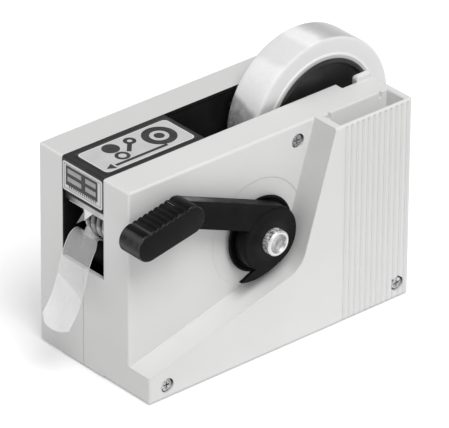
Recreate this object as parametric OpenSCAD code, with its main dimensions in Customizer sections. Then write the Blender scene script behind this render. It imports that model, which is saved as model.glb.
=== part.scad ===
// Lever-fed packing tape dispenser.
// Drawn from the front lower corner of the lever side: X runs back from the mouth, Y across
// from the lever side, Z up from the rim of the case. Each module then moves to the part's own
// frame, whose origin is the centre of the base, on the surface it stands on.

/* [Case] */
// Length of the case, front to back
case_l = 204; // [190:1:240]
// Width over the raised lever side and the far side
case_w = 100.4; // [96:0.2:120]
// Height of the case
case_h = 133; // [128:1:160]
// Wall of the moulded shells
wall = 2.5; // [2:0.1:3]
// Radius on the outer edges of the shells
edge_r = 1.5; // [0.5:0.1:2]
// Radius on the rear corner of the raised side
rear_r = 3; // [2:0.1:4]
// Depth of the recessed panel behind the raised lever side
panel_d = 18.9; // [18:0.1:22]
// Width of the near wall, from the panel to the slot
near_w = 22.7; // [21:0.1:26]
// Width of the slot that holds the roll
slot_w = 37.6; // [34:0.2:42]
// Height of the front sill, below the mouth
sill_h = 66; // [60:1:70]
// Height of the rear sill, below the roll
rear_sill_h = 50; // [40:1:54]
// Depth below the case rim of the rubber mat
mat_proud = 1; // [0.5:0.1:2]

/* [Raised side] */
// Height of the raised side at the front
ledge_h = 17; // [14:0.5:20]
// Slope of the ledge above it
ledge_a = 15; // [12:0.5:16]
// Distance from the front to the raised side at the top
rise_x = 143; // [138:1:148]
// Lean of the raised side's front wall
rise_a = 16.9; // [14:0.1:19]
// Fillet between the ledge and that wall
rise_r = 18; // [10:1:24]
// Pitch of the grooves on the raised side
groove_pitch = 4.4; // [3:0.1:6]
// Width of each groove
groove_w = 2; // [1:0.1:2.4]
// Depth of each groove
groove_d = 1.05; // [0.3:0.05:1.2]
// Depth of the storage pocket
pocket_d = 62; // [30:1:80]

/* [Lever] */
// Distance of the lever shaft from the front
lever_x = 98.5; // [96:0.5:101]
// Height of the lever shaft
lever_z = 72.3; // [71:0.1:74]
// Radius of the collar behind the lever
collar_r = 24.6; // [23:0.1:24.6]
// Radius of the lever's hub
hub_r = 20.6; // [19:0.1:21]
// Radius of the lever shaft
lever_shaft_r = 5; // [4:0.1:6]
// Thickness of the lever arm
lever_t = 9; // [7:0.1:11]
// Angle of the arm above level
arm_a = 22; // [18:0.5:26]
// Depth of the thumb grip
grip_t = 17.5; // [15:0.1:20]
// Radius of the ends of the thumb grip
grip_r = 9; // [8:0.1:10]
// Radius of the thumb nut
nut_r = 8.1; // [7:0.1:9]

/* [Feed] */
// Radius of the rubber drive roller
drive_r = 9.6; // [9:0.1:10]
// Distance of the drive roller's axis from the front
drive_x = 18; // [17.5:0.1:19]
// Height of the line where the tape is pinched
nip_z = 82; // [80:0.5:84]
// Outer radius of the bands on the ring roller
band_r = 13.5; // [12:0.1:14]
// Pitch of the bands
band_pitch = 5; // [4:0.1:6]
// Module of the gears
gear_m = 1.5; // [1.5:0.5:1.5]
// Teeth on a full turn of the lever's sector gear
sector_n = 66; // [66:1:66]
// Teeth on the idler
idler_n = 15; // [15:1:15]
// Teeth on the pinion
pinion_n = 12; // [12:1:12]
// Width of the gears
gear_t = 6; // [4:0.5:7]

/* [Roll] */
// Outer radius of the roll of tape
roll_r = 53.3; // [45:0.1:54]
// Width of the tape
tape_w = 25; // [19:1:25]
// Inner radius of the card core
core_r = 38; // [37:0.5:39]
// Wall of the card core
core_wall = 5; // [3:0.1:5]
// Distance of the roll's axis from the front
roll_x = 172.4; // [170:0.1:175]
// Height of the roll's axis
roll_z = 109.8; // [106:0.1:114]
// Radius of the roll's axle
axle_r = 4; // [3:0.1:5]

/* [Hidden] */
$fn = 96;

// Shared clearances
fit = 0.3;
run_fit = 0.05;
over = 1;
sliver = 0.01;

// Places across the case
slot_y = panel_d + near_w;
slot_end = slot_y + slot_w;
seam_y = slot_y + slot_w / 2;
seam_gap = 0.2;
plate_t = 2;
plate_y = slot_y - plate_t;
far_plate_y = slot_end;
inner_y = panel_d + wall;
far_inner_y = case_w - wall;
base_t = 3;
mat_in = 8;
plate_top = case_h - wall - fit;

// Colours
case_grey = "#dcdcdc";
dark = "#262626";
label_pale = "#dedede";
label_dark = "#3f3f3f";
steel = "#b9bcc0";

// Screws that hold the shells to the side plates, as [x, z], on the panel and on the raised face
panel_screw = [129.9, 121.8];
front_screw = [13.5, 8.1];
rear_screw_in = 9.5;
rear_screw = [case_l - rear_screw_in, 9.4];
screw_head_r = 3.9;
screw_head_h = 2.2;
foot_sink_d = 1.2;
screw_r = 1.9;
screw_clear = 0.2;
sink_r = 4.6;
sink_d = 3.2;
boss_r = 5;
plate_boss_h = 6;
screw_short = 0.4;
cross_w = 0.9;
cross_l = 4.4;
cross_d = 1.1;

// The ledge and the rising wall as lines: normal and distance
function unit(a) = [cos(a), sin(a)];
function meet(n1, d1, n2, d2) =
    let (det = n1[0] * n2[1] - n1[1] * n2[0])
    [(d1 * n2[1] - d2 * n1[1]) / det, (n1[0] * d2 - n2[0] * d1) / det];
ledge_n = unit(90 + ledge_a);
rise_n = unit(180 - rise_a);

module case_frame() {
    translate([-case_l / 2, -case_w / 2, mat_proud]) children();
}

// Extrudes an outline in X and Z from y0 to y1
module along_y(y0, y1) {
    translate([0, y1, 0]) rotate([90, 0, 0]) linear_extrude(y1 - y0) children();
}

module pin_y(at, r, y0, y1) {
    along_y(y0, y1) translate(at) circle(r);
}

module tube_y(at, r, hole_r, y0, y1) {
    along_y(y0, y1) translate(at) difference() {
        circle(r);
        circle(hole_r);
    }
}

// A ring with its edges cut at 45 degrees
module bevel_tube_y(at, r, hole_r, y0, y1, cut) {
    profile = [
        [hole_r, 0], [r - cut, 0], [r, cut], [r, y1 - y0 - cut], [r - cut, y1 - y0], [hole_r, y1 - y0]
    ];
    turn_y(at, y0) polygon(profile);
}

// Turns a profile of [radius, distance along Y] round an axis along Y
module turn_y(at, y0) {
    translate([at[0], y0, at[1]]) rotate([-90, 0, 0]) rotate_extrude() children();
}

module soft_rect(w, h, r) {
    translate([r, 0]) square([w - 2 * r, h]);
    translate([0, r]) square([w, h - 2 * r]);
    for (x = [r, w - r], y = [r, h - r]) translate([x, y]) circle(r);
}

// A block whose twelve edges are rounded
module soft_block(size, r) {
    intersection() {
        linear_extrude(size[2]) soft_rect(size[0], size[1], r);
        translate([0, size[1], 0]) rotate([90, 0, 0]) linear_extrude(size[1])
            soft_rect(size[0], size[2], r);
        rotate([90, 0, 90]) linear_extrude(size[0]) soft_rect(size[1], size[2], r);
    }
}

// Outline of the raised side, drawn in by an inset
module raised_outline(inset) {
    d1 = ledge_n * [0, ledge_h] - inset;
    d2 = rise_n * [rise_x, case_h] - inset;
    r = rise_r + inset;
    corner = meet(ledge_n, d1, rise_n, d2);
    centre = meet(ledge_n, d1 + r, rise_n, d2 + r);
    left = meet([1, 0], inset, ledge_n, d1);
    top = meet([0, 1], case_h - inset, rise_n, d2);
    polygon([[inset, -over], [case_l - inset, -over], [case_l - inset, case_h - inset], top, corner, left]);
    difference() {
        polygon([corner - sliver * (ledge_n + rise_n), centre - r * rise_n, centre - r * ledge_n]);
        translate(centre) circle(r);
    }
}

// The shells

groove_first_x = 151.4;
groove_count = floor((case_l - edge_r - groove_first_x) / groove_pitch) + 1;
groove_rim = 1.2;
pocket_x = 148.6;
pocket_end = case_l - 5;
pocket_wall = 2.2;
pocket_y = 2.6;
pocket_far_y = 17.6;
pocket_rim_w = 0.7;
dimple_r = 0.9;
dimple_d = 4;
dimple_xs = [pocket_x + 4.6, pocket_end - 5.4];
notch_x = 179.5;
notch_in = 6;
lug_x = case_l - 13;
lug_w = 4;
lug_r = 3;
lug_up = 3.6;
lug_down = 22;
ring_step_r = 34.5;
ring_step_d = 0.15;
collar_hole_r = 9.2;
rib_t = 1.8;
rib_low_z = 30;

module shell_boss(at, y0, y1) {
    pin_y(at, boss_r, y0, y1);
}

module screw_hole(at, face_y, into) {
    y1 = face_y + into * sink_d;
    y2 = face_y - into * over;
    y3 = face_y + into * near_w * 2;
    pin_y(at, sink_r, min(y1, y2), max(y1, y2));
    pin_y(at, screw_r + screw_clear, min(y1, y3), max(y1, y3));
}

module near_grooves() {
    for (i = [0:groove_count - 1]) {
        translate([groove_first_x + i * groove_pitch, 0, -over])
            linear_extrude(case_h - groove_rim + over)
                polygon([[-groove_w / 2, -sliver], [groove_w / 2, -sliver], [0, groove_d]]);
    }
}

module near_solid() {
    intersection() {
        translate([0, panel_d, 0]) soft_block([case_l, near_w + edge_r + over, case_h], edge_r);
        translate([-over, 0, -over]) cube([case_l + 2 * over, slot_y, case_h + 2 * over]);
    }
    intersection() {
        soft_block([case_l, case_w, case_h], edge_r);
        along_y(-over, panel_d + edge_r + over) raised_outline(0);
        translate([-case_l, 0, -over]) linear_extrude(case_h + 2 * over)
            soft_rect(case_l * 2, case_w, rear_r);
    }
    sills(slot_y, seam_y - seam_gap / 2);
}

module sills(y0, y1) {
    translate([0, y0, 0]) cube([wall, y1 - y0, sill_h]);
    translate([case_l - wall, y0, 0]) cube([wall, y1 - y0, rear_sill_h]);
}

module pocket_block(grow, up) {
    translate([pocket_x - grow, pocket_y - grow, case_h - pocket_d - grow])
        cube([pocket_end - pocket_x + 2 * grow, pocket_far_y - pocket_y + 2 * grow, pocket_d + grow + up]);
}

// The cut that breaks the edge round the pocket's mouth
module pocket_rim() {
    low = case_h - pocket_rim_w;
    high = case_h + sliver;
    x0 = pocket_x;
    x1 = pocket_end;
    y0 = pocket_y;
    y1 = pocket_far_y;
    w = pocket_rim_w + sliver;
    polyhedron(
        [
            [x0, y0, low], [x1, y0, low], [x1, y1, low], [x0, y1, low],
            [x0 - w, y0 - w, high], [x1 + w, y0 - w, high], [x1 + w, y1 + w, high], [x0 - w, y1 + w, high]
        ],
        [[0, 1, 2, 3], [4, 7, 6, 5], [0, 4, 5, 1], [1, 5, 6, 2], [2, 6, 7, 3], [3, 7, 4, 0]]
    );
}

module lever_side_shell() {
    color(case_grey) case_frame() {
        difference() {
            near_solid();
            difference() {
                union() {
                    translate([wall, inner_y, -over])
                        cube([case_l - 2 * wall, near_w + over, case_h - wall + over]);
                    along_y(wall, inner_y + over) raised_outline(wall);
                }
                pocket_block(pocket_wall, 0);
                shell_boss(panel_screw, panel_d, plate_y - plate_boss_h);
                shell_boss(front_screw, 0, plate_y - plate_boss_h);
                shell_boss(rear_screw, 0, plate_y - plate_boss_h);
                for (x = [lever_x - collar_r - boss_r, lever_x + collar_r + boss_r])
                    translate([x, panel_d, lever_z - collar_r]) cube([rib_t, wall * 2, collar_r * 2]);
            }
            translate([-over, slot_y, sill_h]) cube([wall + 2 * over, near_w + slot_w, case_h]);
            pocket_block(0, over);
            pocket_rim();
            for (x = dimple_xs) translate([x, pocket_far_y, case_h - dimple_d])
                cylinder(r = dimple_r, h = dimple_d + over);
            near_grooves();
            screw_hole(panel_screw, panel_d, 1);
            screw_hole(front_screw, 0, 1);
            screw_hole(rear_screw, 0, 1);
            difference() {
                pin_y([lever_x, lever_z], ring_step_r, panel_d - sliver, panel_d + ring_step_d);
                along_y(0, slot_y) raised_outline(-sliver);
            }
            pin_y([lever_x, lever_z], collar_hole_r, panel_d - over, inner_y + over);
            translate([notch_x, slot_y - notch_in, case_h - wall - over])
                cube([case_l - wall - notch_x, notch_in + over, wall + 2 * over]);
        }
        lug();
    }
}

// Guide that stands beside the open end of the axle slot, rounded at its top and its front end
module lug() {
    y0 = slot_y - notch_in;
    l = case_l - edge_r - fit - lug_x;
    h = lug_down + lug_up;
    translate([lug_x, y0, case_h - lug_down]) intersection() {
        translate([0, lug_w, 0]) rotate([90, 0, 0]) linear_extrude(lug_w) soft_rect(l * 2, h, lug_r);
        rotate([90, 0, 90]) linear_extrude(l) soft_rect(lug_w, h, lug_w / 2 - sliver);
    }
}

module far_side_shell() {
    color(case_grey) case_frame() difference() {
        union() {
            intersection() {
                translate([0, slot_end - edge_r - over, 0])
                    soft_block([case_l, case_w - slot_end + edge_r + over, case_h], edge_r);
                translate([-over, slot_end, -over]) cube([case_l + 2 * over, case_w, case_h + 2 * over]);
            }
            sills(seam_y + seam_gap / 2, slot_end + sliver);
        }
        difference() {
            translate([wall, slot_end - over, -over])
                cube([case_l - 2 * wall, far_inner_y - slot_end + over, case_h - wall + over]);
            for (at = [panel_screw, front_screw, rear_screw])
                shell_boss(at, far_plate_y + plate_t + plate_boss_h, case_w);
            for (x = [case_l / 3, case_l * 2 / 3])
                translate([x, far_inner_y - wall, rib_low_z]) cube([rib_t, wall + over, case_h]);
        }
        for (at = [panel_screw, front_screw, rear_screw]) screw_hole(at, case_w, -1);
        translate([notch_x, slot_end - over, case_h - wall - over])
            cube([case_l - wall - notch_x, notch_in + over, wall + 2 * over]);
    }
}

// The chassis

plate_inset = wall + fit;
foot_w = 10;
rod_r = 4;
cover_l = 77;
cover_h = 22;
foot_l = 36;
foot_xs = [case_l / 6, case_l - case_l / 6 - foot_l];
rod_up = 24;
rod_ats = [
    [case_l / 5, rod_up], [case_l * 11 / 20, rod_up], [case_l - rear_screw_in * 2, rod_up],
    [cover_l * 3 / 4, case_h - cover_h + rod_r * 2]
];
window_w = 30;
window_h = 14;
window_r = 5;
window_ats = [for (x = [case_l / 3, case_l * 3 / 4]) [x, rod_up + 10]];
rod_screw_r = 1.5;
rod_screw_l = 6;
pan_r = 3;
pan_h = 1.8;
idler_ring = gear_m * (idler_n + pinion_n) / 2;
sector_ring = gear_m * (sector_n + idler_n) / 2;
tape_t = 0.3;
drive_z = nip_z - tape_t / 2 - fit - drive_r;
ring_z = nip_z + tape_t / 2 + fit + band_r;
ring_x = drive_x;
drive_at = [drive_x, drive_z];
lever_at = [lever_x, lever_z];
ring_at = [ring_x, ring_z];
roll_at = [roll_x, roll_z];
// The idler lies just below the line between the lever shaft and the drive shaft
axis_gap = norm(drive_at - lever_at);
line_a = atan2(drive_z - lever_z, drive_x - lever_x);
idler_a = line_a + acos((sector_ring * sector_ring + axis_gap * axis_gap - idler_ring * idler_ring)
    / (2 * sector_ring * axis_gap));
idler_at = lever_at + sector_ring * unit(idler_a);
guide_r = 6;
guide_rim_t = 1.4;
guide_rim_h = 2;
guide_at = [drive_x + 30, nip_z - 10.4];
bush_r = 7;
bush_flange_r = 9;
bush_flange_t = 1;
drive_shaft_r = 3;
idler_stud_r = 3;
ring_axle_r = 2.5;
guide_axle_r = 2;
axle_entry_x = 189;
axle_slot_a = 21;
axle_clear = 0.15;

module plate_outline() {
    difference() {
        translate([plate_inset, base_t]) square([case_l - 2 * plate_inset, plate_top - base_t]);
        for (at = rod_ats) translate(at) circle(rod_screw_r + run_fit);
        translate(drive_at) circle(bush_r + run_fit);
        translate(ring_at) circle(ring_axle_r + run_fit);
        translate(guide_at) circle(guide_axle_r + run_fit);
        for (at = [panel_screw, front_screw, rear_screw]) translate(at) circle(screw_r + run_fit);
        axle_slot();
        for (at = window_ats) translate(at) soft_rect(window_w, window_h, window_r);
    }
}

// Hooked slot that the axle drops into from the top
module axle_slot() {
    r = axle_r + axle_clear;
    left = axle_entry_x - r;
    right = axle_entry_x + r;
    up = r * unit(90 + axle_slot_a);
    slope = tan(axle_slot_a);
    translate(roll_at) circle(r);
    polygon([
        roll_at - up, [right, (roll_at - up)[1] + (right - (roll_at - up)[0]) * slope], [right, case_h],
        [left, case_h], [left, (roll_at + up)[1] + (left - (roll_at + up)[0]) * slope], roll_at + up
    ]);
}

module plate_feet(y0, y1) {
    for (x = foot_xs) difference() {
        translate([x, y0, base_t]) cube([foot_l, y1 - y0, plate_t]);
        translate([x + foot_l / 2, (y0 + y1 + (y0 < slot_y ? plate_t : -plate_t)) / 2, base_t - over])
            cylinder(r = screw_r + run_fit, h = plate_t + 2 * over);
    }
}

module near_side_plate() {
    color(dark) case_frame() {
        difference() {
            union() {
                along_y(plate_y, slot_y) plate_outline();
                for (at = [panel_screw, front_screw, rear_screw])
                    pin_y(at, boss_r - fit, plate_y - plate_boss_h, slot_y);
            }
            for (at = [panel_screw, front_screw, rear_screw])
                pin_y(at, screw_r + run_fit, plate_y - plate_boss_h - over, slot_y + over);
            pin_y(lever_at, bush_r + run_fit, plate_y - over, slot_y + over);
            pin_y(idler_at, idler_stud_r + run_fit, plate_y - over, slot_y + over);
        }
        plate_feet(plate_y, slot_y + foot_w);
    }
}

module far_side_plate() {
    color(dark) case_frame() {
        difference() {
            union() {
                along_y(far_plate_y, far_plate_y + plate_t) plate_outline();
                for (at = [panel_screw, front_screw, rear_screw])
                    pin_y(at, boss_r - fit, far_plate_y, far_plate_y + plate_t + plate_boss_h);
            }
            for (at = [panel_screw, front_screw, rear_screw])
                pin_y(at, screw_r + run_fit, far_plate_y - over, far_plate_y + plate_t + plate_boss_h + over);
        }
        plate_feet(far_plate_y - foot_w, far_plate_y + plate_t);
    }
}

// Rods between the side plates, each with a screw at both ends
module tie_rods() {
    color(steel) case_frame() for (at = rod_ats) {
        difference() {
            pin_y(at, rod_r, slot_y, slot_end);
            for (y = [slot_y - over, slot_end - rod_screw_l])
                pin_y(at, rod_screw_r + run_fit, y, y + rod_screw_l + over);
        }
        pin_y(at, rod_screw_r, plate_y, slot_y + rod_screw_l - fit - over);
        pin_y(at, pan_r, plate_y - pan_h, plate_y);
        pin_y(at, rod_screw_r, slot_end - rod_screw_l + fit + over, slot_end + plate_t);
        pin_y(at, pan_r, slot_end + plate_t, slot_end + plate_t + pan_h);
    }
}

module foot_centres() {
    for (x = foot_xs, y = [slot_y + foot_w / 2, slot_end - foot_w / 2])
        translate([x + foot_l / 2, y, 0]) children();
}

module base_plate() {
    color(steel) case_frame() difference() {
        translate([plate_inset, plate_inset, 0])
            linear_extrude(base_t) soft_rect(case_l - 2 * plate_inset, case_w - 2 * plate_inset, edge_r);
        foot_centres() translate([0, 0, -over]) cylinder(r = screw_r + screw_clear, h = base_t + 2 * over);
        foot_centres() translate([0, 0, -over])
            cylinder(r = screw_head_r + screw_clear, h = foot_sink_d + over);
    }
}

module base_mat() {
    in = mat_in;
    color("#3a3a3a") case_frame() translate([in, in, -mat_proud])
        linear_extrude(mat_proud) soft_rect(case_l - 2 * in, case_w - 2 * in, in / 2);
}

// Cross-head screw along +Y from its seat, with its head towards -Y
module cross_screw(head_r, head_h, r, l) {
    difference() {
        rotate([90, 0, 0]) cylinder(r = head_r, h = head_h);
        for (a = [0, 90]) rotate([0, a, 0])
            translate([-cross_l / 2, -head_h - over, -cross_w / 2]) cube([cross_l, cross_d + over, cross_w]);
    }
    rotate([-90, 0, 0]) cylinder(r = r, h = l);
}

module place_screw(at, seat_y, end_y) {
    translate([at[0], seat_y, at[1]]) cross_screw(screw_head_r, screw_head_h, screw_r, abs(end_y - seat_y));
}

module shell_screws() {
    color(steel) case_frame() {
        place_screw(panel_screw, panel_d + sink_d, slot_y - screw_short);
        for (at = [front_screw, rear_screw]) place_screw(at, sink_d, slot_y - screw_short);
        for (at = [panel_screw, front_screw, rear_screw])
            translate([at[0], case_w - sink_d, at[1]]) mirror([0, 1, 0])
                cross_screw(screw_head_r, screw_head_h, screw_r, case_w - sink_d - slot_end - screw_short);
    }
}

module plate_screws() {
    color(steel) case_frame() foot_centres() {
        translate([0, 0, sliver * 2]) cylinder(r = screw_head_r, h = foot_sink_d - sliver * 2);
        cylinder(r = screw_r, h = base_t + plate_t + pan_h);
        translate([0, 0, base_t + plate_t]) cylinder(r = pan_r + sliver, h = pan_h, $fn = 6);
    }
}

// The head

cover_t = 2;
cover_lift = 0.2;
cover_side_t = 1.6;
label_t = 0.3;
blade_x = 1;
blade_t = 0.8;
blade_h = 5.9;
blade_share = 0.86;
blade_top = case_h - cover_h - fit;
blade_low = blade_top - blade_h;
blade_y0 = slot_y + fit;
blade_y1 = slot_y + slot_w * blade_share;
ridge_y = slot_y + slot_w / 2 + fit;
ridge_h = 7.9;
tooth_w = 8;
tip_side = 3.8;
tip_fwd = 2.5;
tip_drop = 10.45;
holder_depth = 4.4;
holder_h = 6;

module head_cover() {
    y0 = slot_y + fit;
    y1 = slot_end - fit;
    top = case_h + cover_lift;
    color(label_dark) case_frame() {
        along_y(y0, y1) difference() {
            intersection() {
                translate([0, case_h - cover_h]) soft_rect(cover_l + edge_r, cover_h + cover_lift, edge_r);
                translate([0, case_h - cover_h]) square([cover_l, cover_h * 2]);
            }
            translate([cover_t, case_h - cover_h - over])
                square([cover_l, cover_h + cover_lift - cover_t + over]);
        }
        for (y = [y0, y1 - cover_side_t]) along_y(y, y + cover_side_t)
            polygon([
                [cover_t - sliver, top - cover_t + sliver], [cover_l, top - cover_t + sliver],
                [cover_l, top - cover_t * 2], [cover_t - sliver, case_h - cover_h + holder_h]
            ]);
    }
}

label_in = 4.4;
label_w = 27;
label_back = 74.2;
label_front = 6;
label_r = 0.8;
front_label_in = 0.7;
front_label_r = 1.6;

module top_label() {
    color(label_pale) case_frame()
        translate([label_front, slot_y + fit + label_in, case_h + cover_lift])
            linear_extrude(label_t) soft_rect(label_back - label_front, label_w, label_r);
}

module front_label() {
    in = front_label_in;
    color(label_pale) case_frame() translate([-label_t, slot_y + fit + in, case_h - cover_h + in])
        rotate([90, 0, 90]) linear_extrude(label_t)
            soft_rect(slot_w - 2 * (fit + in), cover_h - edge_r - 2 * in, front_label_r);
}

module blade_holder() {
    color("#55585b") case_frame()
        translate([blade_x + blade_t, slot_y, blade_top - holder_h + fit])
            cube([holder_depth, slot_w, holder_h - fit]);
}

// Strip with one pointed tooth, whose outer half is folded forward along a ridge
module cutter_blade() {
    color(steel) case_frame() {
        translate([blade_x, 0, 0]) rotate([90, 0, 90]) linear_extrude(blade_t)
            polygon([
                [blade_y0, blade_top], [blade_y0, blade_low], [ridge_y - tooth_w, blade_low],
                [ridge_y, blade_low - ridge_h], [ridge_y, blade_low], [blade_y1, blade_low],
                [blade_y1, blade_top]
            ]);
        folded_half();
    }
}

// A plate between two triangles, the rear one a little smaller than the strip is thick
module folded_half() {
    in = blade_t / 8;
    front = [
        [blade_x + in, ridge_y - blade_t, blade_low - fit],
        [blade_x - tip_fwd, ridge_y + tip_side, blade_low - tip_drop],
        [blade_x + in, ridge_y - blade_t, blade_low - ridge_h + blade_t * 3 / 2]
    ];
    back = [for (p = front) p + [blade_t - 2 * in, 0, 0]];
    polyhedron(concat(front, back), [[0, 2, 1], [3, 4, 5], [0, 1, 4, 3], [1, 2, 5, 4], [2, 0, 3, 5]]);
}

// Rollers, shafts and gears

collar_t = 3.3;
collar_rim_w = 1.8;
collar_dish = 0.8;
collar_back_r = collar_r - 2.4;
collar_tube_r = 9;
lever_gap = 0.5;
lever_back = panel_d - 4.4;
lever_face = lever_back - lever_t;
gear_hub_l = 2.5;
gear_y = plate_y - gear_t - gear_hub_l - 0.1;
gear_end = gear_y + gear_t;
roller_y0 = slot_y + 4;
roller_side = 1.2;
roller_y1 = roller_y0 + tape_w + 1;

// Dished collar that widens from the panel to its rim, with a boss that the lever turns against
module lever_collar() {
    hole = lever_shaft_r + run_fit;
    rim = panel_d - collar_t;
    boss = lever_back + lever_gap;
    soft = lever_gap;
    profile = [
        [hole, boss], [collar_tube_r, boss], [collar_tube_r, rim + collar_dish],
        [collar_r - collar_rim_w - collar_dish, rim + collar_dish], [collar_r - collar_rim_w, rim],
        [collar_r - soft, rim], [collar_r, rim + soft], [collar_back_r, panel_d], [hole, panel_d]
    ];
    color(dark) case_frame() {
        turn_y(lever_at, 0) polygon(profile);
        tube_y(lever_at, collar_tube_r, hole, panel_d - sliver, inner_y + wall);
    }
}

module plate_bush(at, r, y, into) {
    y_in = y + into * bush_flange_t;
    tube_y(at, bush_r, r + run_fit, y, y + plate_t);
    tube_y(at, bush_flange_r, r + run_fit, into < 0 ? y_in : y + plate_t, into < 0 ? y : y_in + plate_t);
}

module plate_bushes() {
    color("#c9a24a") case_frame() {
        plate_bush(lever_at, lever_shaft_r, plate_y, -1);
        plate_bush(drive_at, drive_shaft_r, plate_y, -1);
        plate_bush(drive_at, drive_shaft_r, far_plate_y, 1);
    }
}

// Gear outline: involute flanks at a 25 degree pressure angle, with short teeth
pressure_a = 25;
tooth_up = 0.8 * gear_m;
tooth_down = 1.05 * gear_m;
backlash = 0.1;
flank_steps = 4;
function involute(r, base) = r <= base ? 0 : sqrt(pow(r / base, 2) - 1) * 180 / PI - acos(base / r);
function flank_a(n, r) =
    let (rp = gear_m * n / 2, base = rp * cos(pressure_a))
    90 / n - backlash / rp * 180 / PI + involute(rp, base) - involute(r, base);
function tooth(n, a) =
    let (rp = gear_m * n / 2, low = rp - tooth_down, high = rp + tooth_up)
    let (start = max(low, rp * cos(pressure_a)))
    let (rs = [for (i = [0:flank_steps]) start + (high - start) * i / flank_steps])
    concat(
        start > low ? [low * unit(a - flank_a(n, start))] : [],
        [for (r = rs) r * unit(a - flank_a(n, r))],
        [for (i = [flank_steps:-1:0]) rs[i] * unit(a + flank_a(n, rs[i]))],
        start > low ? [low * unit(a + flank_a(n, start))] : []
    );

module gear_outline(n, turn) {
    polygon([for (i = [0:n - 1]) each tooth(n, turn + i * 360 / n)]);
}

// The sector has a tooth on the line to the idler; each next gear has a gap there
function nearest(turn, pitch, a) = a + (turn - a) - pitch * round((turn - a) / pitch);
to_pinion_a = atan2(drive_z - idler_at[1], drive_x - idler_at[0]);
idler_turn = idler_a + 180 + 180 / idler_n;
idler_off = nearest(idler_turn, 360 / idler_n, to_pinion_a) - to_pinion_a;
pinion_turn = to_pinion_a + 180 + 180 / pinion_n - idler_off * idler_n / pinion_n;
stroke = 34;
sector_rim = 7;
sector_first = -1;
sector_last = ceil(stroke / (360 / sector_n)) + 1;
sector_hub_r = 12;
sector_arm_w = 9;
hub_neck_r = 8.6;
hub_back = 1;
key_w = 3;
key_h = 2;
key_l = 6;

module sector_outline() {
    pitch = 360 / sector_n;
    root = gear_m * sector_n / 2 - tooth_down;
    a0 = idler_a - (sector_last + 0.5) * pitch;
    a1 = idler_a - (sector_first - 0.5) * pitch;
    mid = (a0 + a1) / 2;
    rim = [for (i = [0:24]) a0 + (a1 - a0) * i / 24];
    polygon(concat(
        [(root - sector_rim) * unit(a0)],
        [for (i = [sector_last:-1:sector_first]) each tooth(sector_n, idler_a - i * pitch)],
        [for (i = [24:-1:0]) (root - sector_rim) * unit(rim[i])]
    ));
    circle(sector_hub_r);
    for (a = [a0 + pitch, mid, a1 - pitch]) rotate(a) translate([0, -sector_arm_w / 2])
        square([root - sector_rim / 2, sector_arm_w]);
}

module sector_gear() {
    color(steel) case_frame() difference() {
        union() {
            along_y(gear_y, gear_end) translate(lever_at) sector_outline();
            pin_y(lever_at, hub_neck_r, gear_y - gear_hub_l, gear_end + hub_back);
        }
        pin_y(lever_at, lever_shaft_r, gear_y - gear_hub_l - over, gear_end + gear_hub_l + over);
        key_slot(run_fit);
    }
}

module key_slot(clear) {
    translate([lever_x - key_w / 2 - clear, gear_y - clear, lever_z + lever_shaft_r - key_h / 2 - clear])
        cube([key_w + 2 * clear, key_l + 2 * clear, key_h + 2 * clear]);
}

module sector_key() {
    color(dark) case_frame() key_slot(0);
}

shaft_end_y = slot_y - fit;
seat_r = lever_shaft_r - 0.6;
thread_r = lever_shaft_r - 1.5;
nut_t = 6.3;
nut_y = lever_face - nut_t;

module lever_shaft() {
    color(steel) case_frame() difference() {
        union() {
            pin_y(lever_at, lever_shaft_r, lever_back, shaft_end_y);
            pin_y(lever_at, thread_r, nut_y + dish_d + over, lever_back + sliver);
            pin_y(lever_at, seat_r, lever_face + lever_t / 2, lever_back + sliver);
        }
        key_slot(sliver);
    }
}

dish_d = 1.4;
dish_r = 6.2;
nut_cut = 0.9;
knurl_n = 40;
knurl_d = 0.35;
nut_gap = 0.1;
washer_t = 0.6;

// Knurled nut with a dished face
module thumb_nut() {
    back = nut_t - washer_t - nut_gap;
    bore = thread_r + run_fit;
    profile = [
        [bore, back], [nut_r, back], [nut_r, nut_cut], [nut_r - nut_cut, 0], [dish_r, 0],
        [dish_r - dish_d, dish_d], [0, dish_d + over / 2], [0, dish_d + over], [bore, dish_d + over]
    ];
    color(steel) case_frame() difference() {
        turn_y(lever_at, nut_y) polygon(profile);
        for (i = [0:knurl_n - 1]) translate([lever_x, 0, lever_z]) rotate([0, i * 360 / knurl_n, 0])
            translate([nut_r, nut_y + nut_cut, 0]) knurl();
    }
}

module knurl() {
    rotate([-90, 0, 0]) linear_extrude(nut_t)
        polygon([[-knurl_d, 0], [sliver, -knurl_d], [sliver, knurl_d]]);
}

module lever_washer() {
    color(steel) case_frame()
        tube_y(lever_at, nut_r - fit, thread_r, lever_face - washer_t, lever_face);
}

// The lever: hub, arm and the thin pointed tail that meets the ledge at the end of the stroke
hub_at = lever_at + [-0.6, 0.8];
hub_cut = 1.2;
arm_top = 21.6;
arm_low = 4.6;
arm_reach = 88;
tongue_top = 18;
tongue_h = 9;
tongue_in = 1.5;
tail_t = 2.4;
tail_in = 0.6;
tail_tip_r = 31.3;
tail_tip_a = -137.3;
tail_root_r = 19;
tail_root_a = -124;
tail_start_a = -75;
tail_bend = 1.7;
tail_steps = 14;
shoulder_a = 30;
function tail_r(a) =
    let (r0 = hub_r - hub_cut, t = (tail_start_a - a) / (tail_start_a - tail_tip_a))
    r0 + (tail_tip_r - r0) * pow(t, tail_bend);

// A point by its distance along the arm and above the shaft's axis, across the arm
function arm_pt(reach, up) = reach * unit(180 - arm_a) + up * unit(90 - arm_a);

// The arm stops at the grip's round end, and a narrower tongue goes on into the grip
module arm_tongue(grow) {
    rotate(180 - arm_a) translate([arm_reach / 2, -tongue_top - grow])
        square([arm_reach / 2 + grow, tongue_h + 2 * grow]);
}

function sweep(a0, a1, n) = [for (i = [0:n]) a0 + (a1 - a0) * i / n];

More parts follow.
